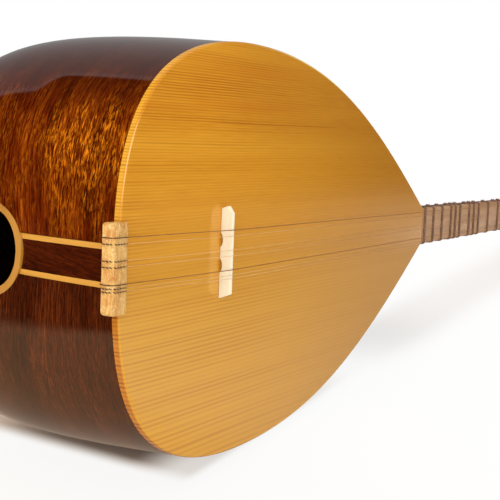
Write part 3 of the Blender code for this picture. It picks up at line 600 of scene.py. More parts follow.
@dataclass(frozen=True)
class SandedWood(Finish):
    """Bare pale wood with sanding marks, orange blotches and fine dark specks."""

    pale: Colour = srgb(238, 194, 118)
    body: Colour = srgb(220, 168, 88)
    orange: Colour = srgb(206, 132, 52)
    # Colour of the dark specks, and of the painted shadow line at the block's lip.
    speck_and_shadow: Colour = srgb(130, 80, 34)
    rubbed: Colour = srgb(255, 230, 184)
    # Painted shadow: where the line at the block's lip starts and ends along the instrument.
    lip_shadow_x: Pair = (0.0041, 0.0050)
    grain: Pattern = Pattern((1300, 140, 1300), 4, 0.65)
    blotch: Pattern = Pattern((230, 130, 230), 4, 0.6, 0.8)
    grit: Pattern = Pattern((1700, 1300, 1700), 3, 0.7)
    scuff: Pattern = Pattern((420, 700, 420), 3, 0.6, 0.5)

    def paint(self, recipe: Recipe) -> None:
        """Lays the blotches, specks and scuffs, and a painted shadow line where the block meets the board."""
        place = recipe.instrument_place()
        grain = recipe.clouds(place, self.grain)
        blotch = recipe.clouds(place, self.blotch)
        grit = recipe.clouds(place, self.grit)
        scuff = recipe.clouds(place, self.scuff, (4, 2, 1))
        colour = recipe.ramp(grain * 0.45 + blotch * 0.55, [(0.40, self.orange), (0.50, self.body),
                                                            (0.62, self.pale)])
        colour = recipe.mix(recipe.step(grit, 0.55, 0.66) * 0.6, colour, self.speck_and_shadow)
        colour = recipe.mix(recipe.step(scuff, 0.58, 0.70) * 0.6, colour, self.rubbed)
        # Painted shadow: a dark line along the lip where the block meets the board.
        joint = recipe.step(recipe.split(place)[0], *self.lip_shadow_x)
        colour = recipe.mix(joint * 0.7, colour, self.speck_and_shadow)
        recipe.bump(grit * 0.6 + grain * 0.4, 0.00010, 0.7)
        recipe.finish(Base_Color=colour, Roughness=0.55 + (grit - 0.5) * 0.3)


@dataclass(frozen=True)
class Wire(Finish):
    """Drawn, wound or twisted string metal."""

    colour: Colour
    shade: Colour
    roughness: float
    wrap: float = 0.0
    twist: float = 0.0
    # Painted shade: the colour of the string where it runs over the block.
    painted_block_shade: Colour = srgb(84, 54, 30)
    painted_block_shade_until: float = 0.0035
    painted_block_shade_blend: float = 0.001
    distant: Colour = srgb(168, 116, 64)
    distant_x: Pair = (0.12, 0.30)
    distant_share: float = 0.8
    wrap_relief: float = 0.00005
    bare_relief: float = 0.00001
    tarnish: Pattern = Pattern((90, 90, 90), 3, 0.6)

    def paint(self, recipe: Recipe) -> None:
        """Lays the tarnish, the windings with painted shade in their grooves, the twist with painted shadow
        and glint, painted shade over the block, and a duller tone towards the neck.
        """
        place = recipe.instrument_place()
        along = recipe.split(place)[0]
        tarnish = recipe.clouds(place, self.tarnish)
        colour = recipe.mix(recipe.step(tarnish, 0.35, 0.70), self.colour, self.shade)
        if self.wrap:
            turns = self.waves(along, self.wrap)
            # Painted shade in the grooves between the turns.
            colour = recipe.mix(turns * 0.6, colour, self.shade)
            recipe.bump(turns, self.wrap_relief)
        elif self.twist:
            beads = self.waves(recipe.split(recipe.flow_place())[0], self.twist)
            # Painted shadow and glint along each twist: shade dark, colour bright.
            colour = recipe.mix(recipe.step(beads, 0.20, 0.45), self.colour, self.shade)
            recipe.bump(beads, self.wrap_relief)
        else:
            recipe.bump(tarnish, self.bare_relief)
        colour = recipe.mix(recipe.step(along, *self.distant_x) * self.distant_share, colour, self.distant)
        # Painted shade over the block.
        painted_block_shade = recipe.step(along, self.painted_block_shade_until + self.painted_block_shade_blend, self.painted_block_shade_until)
        colour = recipe.mix(painted_block_shade, colour, self.painted_block_shade)
        recipe.finish(Base_Color=colour, Metallic=0.25, Roughness=self.roughness + tarnish * 0.2)

    @staticmethod
    def waves(along: Value, pitch: float) -> Value:
        """Ridges from 0 to 1, one for each pitch."""
        return (along * (2 * math.pi / pitch)).sine() * 0.5 + 0.5


@dataclass(frozen=True)
class SmoothStuff(Finish):
    """Bone and nylon: one colour with faint clouds and fine scratches."""

    colour: Colour
    shade: Colour
    roughness: float
    coat: float = 0.0
    cloud: Pattern = Pattern((160, 160, 160), 3, 0.55)
    scratch: Pattern = Pattern((300, 2600, 2600), 2)

    def paint(self, recipe: Recipe) -> None:
        """Lays the clouds and the scratches."""
        place = recipe.instrument_place()
        cloud = recipe.clouds(place, self.cloud)
        scratch = recipe.clouds(place, self.scratch)
        colour = recipe.mix(recipe.step(cloud, 0.35, 0.68), self.colour, self.shade)
        recipe.bump(scratch * 0.6 + cloud * 0.4, 0.00002, 0.6)
        recipe.finish(Base_Color=colour, Roughness=self.roughness + (scratch - 0.5) * 0.2,
                      Coat_Weight=self.coat)


# Making pieces


def deselect() -> None:
    """Leaves nothing selected."""
    bpy.ops.object.select_all(action="DESELECT")


def choose(item: Any) -> None:
    """Makes one object the only selected and active one."""
    deselect()
    item.select_set(True)
    bpy.context.view_layer.objects.active = item


def corner_array(item: Any) -> np.ndarray:
    """All corners of a mesh object, three numbers each."""
    flat = np.empty(len(item.data.vertices) * 3)
    item.data.vertices.foreach_get("co", flat)
    return flat.reshape(-1, 3)


def set_corners(item: Any, points: np.ndarray) -> None:
    """Moves all corners of a mesh object."""
    item.data.vertices.foreach_set("co", np.asarray(points, float).ravel())
    item.data.update()


def apply_modifier(item: Any, kind: str, **settings: Any) -> None:
    """Adds a modifier and applies it.

    Args:
        item: The object.
        kind: The modifier's type.
        settings: Attributes of the modifier.
    """
    choose(item)
    modifier = item.modifiers.new(kind.lower(), kind)
    for key, value in settings.items():
        setattr(modifier, key, value)
    bpy.ops.object.modifier_apply(modifier=modifier.name)


def merge_doubles(item: Any) -> None:
    """Merges a piece's doubled corners and leaves all of it selected in edit mode."""
    choose(item)
    bpy.ops.object.mode_set(mode="EDIT")
    bpy.ops.mesh.select_all(action="SELECT")
    bpy.ops.mesh.remove_doubles(threshold=WELD)
    bpy.ops.mesh.select_all(action="SELECT")


def close_up(item: Any) -> None:
    """Merges doubled corners, fills open ends and turns all faces outwards."""
    merge_doubles(item)
    bpy.ops.mesh.fill_holes(sides=0)
    bpy.ops.mesh.select_all(action="SELECT")
    bpy.ops.mesh.normals_make_consistent(inside=False)
    bpy.ops.object.mode_set(mode="OBJECT")


def smooth(item: Any, degrees: float = 32.0) -> None:
    """Shades a piece smooth, with sharp edges above an angle."""
    choose(item)
    bpy.ops.object.shade_smooth_by_angle(angle=math.radians(degrees))


def arc(centre: Pair, radii: Pair, start: float, end: float, steps: int) -> np.ndarray:
    """Points along an arc.

    Args:
        centre: Its centre.
        radii: Its radius on each axis.
        start: First angle from the first axis, in degrees.
        end: Last angle, in degrees.
        steps: How many points.

    Returns:
        The points, two numbers each.
    """
    angle = np.radians(np.linspace(start, end, steps))
    return np.column_stack([centre[0] + radii[0] * np.cos(angle), centre[1] + radii[1] * np.sin(angle)])


def run_along(points: np.ndarray) -> np.ndarray:
    """Distance along a line of points, up to each of them."""
    return np.concatenate([[0], np.cumsum(np.linalg.norm(np.diff(points, axis=0), axis=1))])


def points_at(points: np.ndarray, length: np.ndarray, at: np.ndarray) -> np.ndarray:
    """Points of a line at given distances along it."""
    return np.column_stack([np.interp(at, length, column) for column in points.T])


def smooth_corners(points: np.ndarray, radius: float, steps: int = 6) -> np.ndarray:
    """Rounds the inner corners of a line.

    Args:
        points: The line's points.
        radius: How far from each corner the rounding starts.
        steps: Points in each rounding.

    Returns:
        The line with rounded corners.
    """
    line = [points[0]]
    for before, corner, after in zip(points, points[1:], points[2:]):
        ends = []
        for other in (before, after):
            length = np.linalg.norm(other - corner)
            ends.append(corner + (other - corner) / length * min(radius, 0.45 * length))
        for share in np.linspace(0, 1, steps):
            line.append((1 - share) ** 2 * ends[0] + 2 * share * (1 - share) * corner + share ** 2 * ends[1])
    line.append(points[-1])
    return np.array(line)


@dataclass
class Bench:
    """Makes pieces in the instrument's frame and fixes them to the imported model."""

    axes: InstrumentAxes

    def sheet(self, name: str, lattice: np.ndarray, flow: np.ndarray | None = None) -> Any:
        """Adds a grid and lays its corners on a lattice of points.

        Args:
            name: The piece's name.
            lattice: Points in the instrument's frame, columns by rows by 3.
            flow: Distance along and across the piece for each point, or None.

        Returns:
            The new object.
        """
        columns, rows = lattice.shape[:2]
        deselect()
        bpy.ops.mesh.primitive_grid_add(x_subdivisions=columns - 1, y_subdivisions=rows - 1, size=1.0)
        piece = bpy.context.object
        piece.name = piece.data.name = name
        flat = corner_array(piece) + 0.5
        column = np.rint(flat[:, 0] * (columns - 1)).astype(int)
        row = np.rint(flat[:, 1] * (rows - 1)).astype(int)
        set_corners(piece, self.axes.world(lattice[column, row]))
        if flow is not None:
            self.set_flow(piece, flow[column, row])
        return piece

    def set_flow(self, piece: Any, flow: np.ndarray) -> None:
        """Writes the grain's own coordinates to a piece's UV map.

        Args:
            piece: The object.
            flow: Distance along and across the piece for each corner.
        """
        mesh = piece.data
        layer = mesh.uv_layers.active or mesh.uv_layers.new()
        layer.name = "grain"
        corners = np.empty(len(mesh.loops), int)
        mesh.loops.foreach_get("vertex_index", corners)
        layer.data.foreach_set("uv", flow[corners].ravel())

    def wrap(self, name: str, rings: np.ndarray) -> Any:
        """A closed form from rings of points, with its ends filled.

        Args:
            name: The piece's name.
            rings: Points in the instrument's frame, rings by points by 3.

        Returns:
            The new object.
        """
        closed = np.concatenate([rings, rings[:, :1]], axis=1)
        piece = self.sheet(name, closed)
        close_up(piece)
        return piece

    def from_curve(self, name: str, points: np.ndarray, closed: bool, **settings: Any) -> Any:
        """Makes a closed mesh from a curve of straight runs.

        Args:
            name: The piece's name.
            points: The curve's points, three numbers each.
            closed: Whether its last point joins the first.
            settings: Attributes of the curve.

        Returns:
            The new object.
        """
        curve = bpy.data.curves.new(name, "CURVE")
        for key, value in settings.items():
            setattr(curve, key, value)
        spline = curve.splines.new("POLY")
        spline.points.add(len(points) - 1)
        spline.use_cyclic_u = closed
        spline.points.foreach_set("co", np.column_stack([points, np.ones(len(points))]).ravel())
        piece = bpy.data.objects.new(name, curve)
        bpy.context.scene.collection.objects.link(piece)
        choose(piece)
        bpy.ops.object.convert(target="MESH")
        piece = bpy.context.object
        piece.name = piece.data.name = name
        close_up(piece)
        return piece

    def tube(self, name: str, points: np.ndarray, radius: float) -> Any:
        """A round wire along points in the instrument's frame."""
        piece = self.from_curve(name, self.axes.world(points), False, dimensions="3D", bevel_depth=radius,
                                bevel_resolution=2, use_fill_caps=True)
        smooth(piece, 60)
        return piece

    def plate(self, name: str, outline: np.ndarray, thickness: float) -> Any:
        """A flat plate in its outline's own plane, half its thickness to each side."""
        points = np.column_stack([outline, np.zeros(len(outline))])
        return self.from_curve(name, points, True, dimensions="2D", fill_mode="BOTH", extrude=thickness / 2)

    def cylinder(self, centre: Vector, axis: Vector, radius: float, length: float, sides: int,
                 end_radius: float | None = None) -> Any:
        """A cylinder or cone to cut with.

        Args:
            centre: Its middle in the instrument's frame.
            axis: Its direction in the instrument's frame.
            radius: At its start.
            length: From end to end.
            sides: Faces round it.
            end_radius: At its end, if that is another.

        Returns:
            The new object.
        """
        deselect()
        place = Vector(self.axes.world(np.array(centre)))
        turn = (self.axes.turn @ axis).to_track_quat("Z", "Y").to_euler()
        bpy.ops.mesh.primitive_cone_add(vertices=sides, radius1=radius,
                                        radius2=radius if end_radius is None else end_radius,
                                        depth=length, location=place, rotation=turn)
        return bpy.context.object

    def block(self, low: Triple, high: Triple) -> Any:
        """A box to cut with.

        Args:
            low: Its lowest corner in the instrument's frame.
            high: Its highest corner.

        Returns:
            The new object.
        """
        deselect()
        bpy.ops.mesh.primitive_cube_add(size=1.0)
        box = bpy.context.object
        span = np.array(high) - np.array(low)
        set_corners(box, self.axes.world((corner_array(box) + 0.5) * span + np.array(low)))
        return box

    def cut(self, piece: Any, *cutters: Any) -> None:
        """Cuts a piece with others, which stay."""
        for cutter in cutters:
            apply_modifier(piece, "BOOLEAN", operation="DIFFERENCE", solver="EXACT", object=cutter)

    def discard(self, *items: Any) -> None:
        """Removes objects that were only there to cut."""
        for item in items:
            bpy.data.objects.remove(item, do_unlink=True)

    def deliver(self, piece: Any, material: Any, body: str, slot: str, *nodes: str) -> None:
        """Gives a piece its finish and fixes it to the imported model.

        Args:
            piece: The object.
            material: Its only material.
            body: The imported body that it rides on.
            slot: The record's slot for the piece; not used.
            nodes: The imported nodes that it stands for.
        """
        piece.data.materials.clear()
        piece.data.materials.append(material)
        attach(piece, body)
        if nodes:
            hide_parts(*nodes)
        LOG.info("%s: %d faces on %s", piece.name, len(piece.data.polygons), body)


@dataclass
class Workpiece:
    """What all sub-assemblies share: the bench that their pieces are made on."""

    bench: Bench


# The body


@dataclass
class BodyForm:
    """The body's shape: the soundboard's outline and the bowl's surface."""

    length: float = 0.420
    width: float = 0.256
    widest_at: float = 0.128
    tail_handle: float = 0.045
    shoulder_handle: float = 0.108
    neck_handle: float = 0.130
    neck_angle: float = math.radians(34.4)
    neck_width: float = 0.030
    joint_gap: float = 0.0003
    board_thickness: float = 0.0042
    depth: float = 0.18998
    heel_depth: float = 0.038
    tail_squareness: float = 3.0
    side_squareness: float = 7.2
    heel_squareness: float = 2.2
    swell: float = 0.0324
    samples: int = 300

    @property
    def rim_depth(self) -> float:
        """Where the bowl's rim starts below the soundboard's face."""
        return self.board_thickness + self.joint_gap

    @property
    def end(self) -> float:
        """Where the body ends, short of the neck."""
        return self.length - self.joint_gap

    def outline(self, steps: int) -> np.ndarray:
        """Half of the outline, from the middle of the tail to the neck.

        Args:
            steps: Points on each of its two curves.

        Returns:
            The points, two numbers each.
        """
        half, neck = self.width / 2, self.neck_width / 2
        back = self.neck_handle * math.cos(self.neck_angle)
        out = self.neck_handle * math.sin(self.neck_angle)
        tail = self.curve([(0, 0), (0, self.tail_handle), (0, half), (self.widest_at, half)], steps)
        shoulder = self.curve([(self.widest_at, half), (self.widest_at + self.shoulder_handle, half),
                               (self.end - back, neck + out), (self.end, neck)], steps)
        return np.vstack([tail, shoulder[1:]])

    @staticmethod
    def curve(controls: Sequence[Pair], steps: int) -> np.ndarray:
        """Points along a cubic curve.

        Args:
            controls: Its four control points.
            steps: How many stretches.

        Returns:
            The points, two numbers each.
        """
        knots = np.array(controls, float)
        t = np.linspace(0, 1, steps + 1)[:, None]
        return ((1 - t) ** 3 * knots[0] + 3 * t * (1 - t) ** 2 * knots[1]
                + 3 * t ** 2 * (1 - t) * knots[2] + t ** 3 * knots[3])

    def section(self, x: float, y: float) -> tuple[np.ndarray, np.ndarray]:
        """The bowl's line from an outline point down to its bottom.

        Args:
            x: Place of the outline point.
            y: Place of the outline point, on the upper side.

        Returns:
            The line's points and its length up to each.
        """
        if x <= self.widest_at:
            turn = math.atan2(abs(y), self.widest_at - x) / (math.pi / 2)
            squareness = self.tail_squareness + (self.side_squareness - self.tail_squareness) * turn
            swell, depth = self.swell * turn, self.depth
        else:
            run = (x - self.widest_at) / (self.end - self.widest_at)
            squareness = self.side_squareness + (self.heel_squareness - self.side_squareness) * run
            swell = self.swell * (1 - run)
            depth = self.depth + (self.heel_depth - self.depth) * run ** 2
        centre = max(x, self.widest_at)
        out = np.array([x - centre, y])
        reach = float(np.linalg.norm(out))
        out = out / max(reach, 1e-9)
        angle = np.linspace(0, math.pi / 2, self.samples)
        across = np.abs(np.cos(angle)) ** (2 / squareness)
        down = np.sin(angle) ** (2 / squareness)
        across[-1] = 0
        across = across * (1 + swell * np.sin(math.pi * down)) * reach
        down = down * (depth - self.rim_depth)
        points = np.column_stack([centre + out[0] * across, out[1] * across, -self.rim_depth - down])
        return points, run_along(np.column_stack([across, down]))

    def along_section(self, x: float, y: float, fractions: np.ndarray, trims: np.ndarray) -> np.ndarray:
        """Points of a section at shares of its length, each with a length added."""
        points, length = self.section(x, y)
        return points_at(points, length, fractions * length[-1] + trims)

    def tail_surface(self, depth: np.ndarray | float) -> np.ndarray:
        """x of the tail, in the middle, at a depth below the soundboard's face."""
        points = self.section(0, 1e-6)[0]
        return np.interp(depth, -points[:, 2], points[:, 0])


@dataclass
class Soundboard(Workpiece):
    """The spruce plate with its softly rounded upper edge."""

    form: BodyForm
    rounding: float = 0.0018
    rounding_steps: int = 6
    steps: int = 70

    def build(self) -> None:
        """Makes the plate and hands it over."""
        half = self.form.outline(self.steps)
        outline = np.vstack([half, half[:0:-1] * (1, -1)])
        plate = self.bench.plate("soundboard_plate", outline, self.form.board_thickness)
        set_corners(plate, corner_array(plate) - (0, 0, self.form.board_thickness / 2))
        self.round_rim(plate)
        set_corners(plate, self.bench.axes.world(corner_array(plate)))
        smooth(plate, 25)
        self.bench.deliver(plate, Spruce().material(self.bench.axes), BODY, "soundboard", "soundboard")

    def round_rim(self, plate: Any) -> None:
        """Bevels the edges where the face meets the side.

        Args:
            plate: The plate, still flat in its own plane.
        """
        choose(plate)
        bpy.ops.object.mode_set(mode="EDIT")
        bpy.ops.mesh.select_all(action="SELECT")
        bpy.ops.mesh.dissolve_limited(angle_limit=math.radians(0.05))
        bpy.ops.mesh.select_mode(type="FACE")
        bpy.ops.mesh.select_all(action="DESELECT")
        bpy.ops.object.mode_set(mode="OBJECT")
        for face in plate.data.polygons:
            face.select = face.normal.z > 0.9
        bpy.ops.object.mode_set(mode="EDIT")
        bpy.ops.mesh.region_to_loop()
        bpy.ops.mesh.bevel(offset=self.rounding, segments=self.rounding_steps, profile=0.5)
        bpy.ops.object.mode_set(mode="OBJECT")


@dataclass
class Bowl(Workpiece):
    """Nine lacquered staves, the tail's strips and the ring of the sound hole."""

    form: BodyForm
    wall: float = 0.0035
    seams: tuple[float, ...] = (0.0, 0.165, 0.375, 0.60, 0.81)
    seam_gap: float = 0.00008
    steps: int = 56
    rows: int = 12
    hole_depth: float = 0.0965
    ring_outer: float = 0.0279
    ring_inner: float = 0.0230
    ring_back: float = 0.0042
    ring_proud: float = 0.00008
    ring_shift: float = 0.0012
    ring_rounding: float = 0.0003
    ring_sides: int = 128
    hole_cutter: float = 0.08
    strip_width: float = 0.0176
    stripe_width: float = 0.0030
    strip_lean: Pair = (-0.0009, 0.0008)
    strip_taper: float = 0.045
    joint_gap: float = 0.0002
    dark_line: float = 0.0003
    cutter_reach: float = 0.05

    def build(self) -> None:
        """Makes all the bowl's pieces and hands them over."""
        band, hole = self.tail_cutters()
        route = self.form.outline(self.steps)
        route[0] = (0, self.seam_gap)
        for side, sign in (("upper", 1), ("lower", -1)):
            for index in range(len(self.seams) - 1):
                self.stave(side, sign, index, route, band, hole)
        self.back_stave(hole)
        self.strips(hole)
        self.ring()
        self.bench.discard(band, hole)

    def hole_frame(self) -> tuple[Vector, Vector]:
        """Centre and outward direction of the sound hole."""
        span = self.ring_outer
        above = float(self.form.tail_surface(self.hole_depth - span))
        below = float(self.form.tail_surface(self.hole_depth + span))
        along = Vector((below - above, 0, -2 * span)).normalized()
        centre = Vector((float(self.form.tail_surface(self.hole_depth)), self.ring_shift, -self.hole_depth))
        return centre, Vector((along.z, 0, -along.x))

    def strip_edge(self, level: np.ndarray | float, offset: np.ndarray | float) -> np.ndarray:
        """y of a line that runs beside the strip's middle.

        Args:
            level: Depth below the soundboard's face.
            offset: Distance from the strip's middle at the string block.

        Returns:
            The line's place across the tail.
        """
        run = (np.asarray(level) - self.form.rim_depth) / (self.hole_depth - self.form.rim_depth)
        near, far = self.strip_lean
        return near + (far - near) * run + offset * (1 - self.strip_taper * run)

    def tail_cutters(self) -> tuple[Any, Any]:
        """Makes the cutters for the band of strips and for the ring.

        Args:

        Returns:
            Both cutters.
        """
        centre, outward = self.hole_frame()
        reach = self.cutter_reach
        half = self.strip_width / 2 + self.stripe_width + self.joint_gap * 1.5
        band = self.bench.block((-reach, -1.0, centre.z), (reach, 1.0, reach))
        corners = self.bench.axes.local(corner_array(band))
        level = np.where(corners[:, 2] > 0, -reach, -centre.z)
        dark_line = np.where(corners[:, 1] > 0, self.dark_line, 0.0)
        corners[:, 1] = self.strip_edge(level, np.sign(corners[:, 1]) * half) + dark_line
        set_corners(band, self.bench.axes.world(corners))
        radius = self.ring_outer + self.joint_gap / 2
        hole = self.bench.cylinder(centre, outward, radius, self.hole_cutter, self.ring_sides)
        return band, hole

    def stave_lattice(self, route: Sequence[Sequence[float]], low: float,
                      high: float) -> tuple[np.ndarray, np.ndarray]:
        """Points of a stave's outer face, and the grain's own coordinates.

        Args:
            route: Outline points, each with the side's sign.
            low: Share of the section where the stave starts.
            high: Share of the section where it ends.

        Returns:
            The lattice and the flow.
        """
        fractions = np.linspace(low, high, self.rows)
        trims = np.zeros(self.rows)
        trims[0] = self.seam_gap / 2 if low > 0 else 0.0
        trims[-1] = -self.seam_gap / 2 if high < 1 else 0.0
        lattice = np.array([self.form.along_section(x, y, fractions, trims) * (1, sign, 1)
                            for x, y, sign in route])
        along = run_along(lattice[:, self.rows // 2])
        across = np.array([run_along(row) for row in lattice])
        across = across - across[:, -1:] / 2
        return lattice, np.stack([np.broadcast_to(along[:, None], across.shape), across], axis=2)

    def stave(self, side: str, sign: int, index: int, route: np.ndarray, band: Any, hole: Any) -> None:
        """One stave from the middle of the tail to the neck.

        Args:
            side: Name of its side.
            sign: 1 on the upper side, -1 on the lower one.
            index: Its place from the rim, from 0.
            route: Outline points on the upper side.
            band: Cutter for the strips.
            hole: Cutter for the ring.
        """
        low, high = self.seams[index], self.seams[index + 1]
        lattice, flow = self.stave_lattice([(x, y, sign) for x, y in route], low, high)
        name = f"stave_{side}_{index + 1}"
        piece = self.bench.sheet(name + "_shell", lattice, flow)
        self.thicken(piece)
        top, bottom = lattice[0, 0, 2], lattice[0, -1, 2]
        if top > -self.hole_depth:
            self.bench.cut(piece, band)
        if bottom < -self.hole_depth + self.ring_outer and top > -self.hole_depth - self.ring_outer:
            self.bench.cut(piece, hole)
        smooth(piece, 30)
        seed = 1.3 + index * 2.1
        finish = self.dark_stave(name + "_lacquer", seed + 0.7)
        if sign > 0:
            finish = Mahogany(name + "_lacquer", seed, figure=0.95)
        self.bench.deliver(piece, finish.material(self.bench.axes), BODY, "bowl", name)

    def back_stave(self, hole: Any) -> None:
        """The wide stave down the middle of the back.

        Args:
            hole: Cutter for the ring.
        """
        outline = self.form.outline(self.steps)
        middle = len(outline) - 1
        route = [(x, y, 1) for x, y in outline[::-1]] + [(x, y, -1) for x, y in outline[1:]]
        route[middle] = (0, 1e-6, 1)
        lattice = self.stave_lattice(route, self.seams[-1], 1.0)[0]
        piece = self.bench.sheet("stave_back_shell", lattice, lattice[..., :2])
        self.thicken(piece)
        if lattice[middle, 0, 2] > -self.hole_depth - self.ring_outer:
            self.bench.cut(piece, hole)
        smooth(piece, 30)
        finish = self.dark_stave("stave_back_lacquer", 9.4)
        self.bench.deliver(piece, finish.material(self.bench.axes), BODY, "bowl", "stave_back")

    @staticmethod
    def dark_stave(name: str, seed: float) -> Mahogany:
        """A plainer, darker copy of the mahogany, for the lower staves and the back stave."""
        tones = (srgb(36, 9, 1), srgb(56, 17, 3), srgb(74, 27, 6), srgb(104, 46, 13))
        return Mahogany(name, seed, tones, figure_and_sheen=srgb(122, 64, 22), pore=srgb(32, 10, 2), figure=0.3)

    def thicken(self, piece: Any) -> None:
        """Welds a stave's face, points it outwards and gives it the wall's thickness inwards.

        Args:
            piece: The stave's outer face.
        """
        merge_doubles(piece)
        bpy.ops.object.mode_set(mode="OBJECT")
        centre = Vector(corner_array(piece).mean(axis=0))
        towards = sum(face.area * face.normal.dot(face.center - centre) for face in piece.data.polygons)
        if towards < 0:
            piece.data.flip_normals()
        apply_modifier(piece, "SOLIDIFY", thickness=self.wall, offset=-1.0, use_even_offset=False)

    def strips(self, hole: Any) -> None:
        """The dark strip and the two light stripes from the string block to the ring.

        Args:
            hole: Cutter for the ring.
        """
        half = self.strip_width / 2
        gap = self.joint_gap * 0.6
        edge = half + self.joint_gap + self.stripe_width
        tones = (srgb(34, 7, 1), srgb(54, 14, 2), srgb(68, 21, 3), srgb(84, 30, 7))
        dark = Mahogany("tail_strip_lacquer", 5.2, tones, figure_and_sheen=srgb(100, 40, 12), figure=0.3, slant=0.16)
        pale = PlainWood("stripe_wood", srgb(226, 163, 58), srgb(200, 134, 34), Grain.FLOW, roughness=0.4,
                         coat=1.0, contrast=0.7)
        bands = (("tail_strip", -half - gap / 2, half + gap / 2, dark, "tail_strip"),
                 ("stripe_upper", half + gap, edge + gap / 2, pale, "stripes"),
                 ("stripe_lower", -edge - gap / 2, -half - gap, pale, "stripes"))
        for name, low, high, finish, slot in bands:
            piece = self.band(name + "_inlay", low, high)
            self.bench.cut(piece, hole)
            smooth(piece, 30)
            self.bench.deliver(piece, finish.material(self.bench.axes), BODY, slot, name)

    def band(self, name: str, low: float, high: float) -> Any:
        """One band on the tail, from the rim to the middle of the hole.

        Args:
            name: The piece's name.
            low: Its lower edge, from the strip's middle.
            high: Its upper edge, from the strip's middle.

        Returns:
            The new object.
        """
        levels = np.linspace(self.form.rim_depth, self.hole_depth, 40)
        offsets = np.linspace(low, high, 5)
        lattice = np.empty((len(offsets), len(levels), 3))
        lattice[..., 0] = self.form.tail_surface(levels)[None, :]
        lattice[..., 1] = self.strip_edge(levels, offsets[:, None])
        lattice[..., 2] = -levels[None, :]
        piece = self.bench.sheet(name, lattice, lattice[..., [2, 1]])
        outward = self.bench.axes.turn @ Vector((-1, 0, 0))
        if sum(face.normal.dot(outward) for face in piece.data.polygons) < 0:
            piece.data.flip_normals()
        apply_modifier(piece, "SOLIDIFY", thickness=self.wall, offset=-1.0)
        return piece

    def ring(self) -> None:
        """The turned ring that lines the sound hole."""
        centre, outward = self.hole_frame()
        soft, outer = self.ring_rounding, self.ring_outer - self.joint_gap / 3
        level = self.ring_proud - soft
        profile = np.vstack([[(outer, -self.ring_back)],
                             arc((self.ring_outer - soft, level), (soft, soft), 0, 90, 6),
                             arc((self.ring_inner + soft, level), (soft, soft), 90, 180, 6),
                             [(self.ring_inner, -self.ring_back)]])
        side = Vector((0, 1, 0))
        up = outward.cross(side)
        rings = [[centre + (side * math.cos(a) + up * math.sin(a)) * r + outward * h for r, h in profile]
                 for a in np.linspace(0, 2 * math.pi, self.ring_sides + 1)]
        piece = self.bench.wrap("sound_hole_lip", np.array(rings))
        smooth(piece, 40)
        finish = PlainWood("ring_wood", srgb(204, 142, 46), srgb(176, 114, 26), Grain.ACROSS, roughness=0.4,
                           coat=1.0, contrast=0.6)
        material = finish.material(self.bench.axes)
        self.bench.deliver(piece, material, BODY, "sound_hole_ring", "sound_hole_ring")


@dataclass
class InnerParts(Workpiece):
    """The blocks and braces inside the bowl, seen only through the sound hole."""

    nodes: tuple[str, ...] = ("tail_block", "neck_block", "brace_tail", "brace_neck")
    darker_by: int = 6

    def build(self) -> None:
        """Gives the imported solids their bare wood, each a little darker than the one before."""
        for number, name in enumerate(self.nodes):
            shade = self.darker_by * number
            pale, dark = srgb(204 - shade, 166 - shade, 112), srgb(160, 120 - shade, 74)
            finish = PlainWood(name + "_wood", pale, dark, Grain.ACROSS, roughness=0.8)
            item = frame["nodes"][name]
            item.data.materials.clear()
            item.data.materials.append(finish.material(self.bench.axes))
            LOG.info("%s: packed solid with bare wood", name)


@dataclass
class Bridge(Workpiece):
    """The bare maple bridge with its two arches."""

    at: float = 0.101
    height: float = 0.0080
    foot_length: float = 0.054
    shoulder_length: float = 0.0575
    shoulder_height: float = 0.0045
    top_length: float = 0.0495
    foot_thickness: float = 0.0045
    top_thickness: float = 0.0025
    arch_at: float = 0.0078
    arch_radius: float = 0.0040
    arch_height: float = 0.0015
    lower_foot: float = 0.0279
    lift: float = 0.00015
    rounding: float = 0.00035

    def outline(self) -> np.ndarray:
        """The bridge seen along the strings.

        Returns:
            The outline's points, across and up.
        """
        arches = [arc((sign * self.arch_at, 0), (self.arch_radius, self.arch_height), 180, 0, 15)
                  for sign in (-1, 1)]
        foot, shoulder, top = self.foot_length / 2, self.shoulder_length / 2, self.top_length / 2
        ends = [(foot, 0), (shoulder, self.shoulder_height), (top, self.height), (-top, self.height),
                (-self.lower_foot, 0)]
        return np.vstack([*arches, ends])

    def build(self) -> None:
        """Makes the bridge, thinner towards its top, and hands it over."""
        piece = self.bench.plate("bridge_maple", self.outline(), self.foot_thickness)
        flat = corner_array(piece)
        share = flat[:, 2] / self.foot_thickness + 0.5
        lean = (self.foot_thickness - self.top_thickness) / self.height
        x = self.at - self.top_thickness / 2 + share * (self.foot_thickness - lean * flat[:, 1])
        set_corners(piece, self.bench.axes.world(np.column_stack([x, flat[:, 0], flat[:, 1] + self.lift])))
        close_up(piece)
        apply_modifier(piece, "BEVEL", width=self.rounding, segments=3, limit_method="ANGLE",
                       angle_limit=math.radians(40))
        smooth(piece)
        finish = PlainWood("bare_maple", srgb(255, 250, 224), srgb(250, 236, 198), Grain.ACROSS,
                           roughness=0.6, contrast=0.6)
        self.bench.deliver(piece, finish.material(self.bench.axes), "bridge_body", "bridge", "bridge")


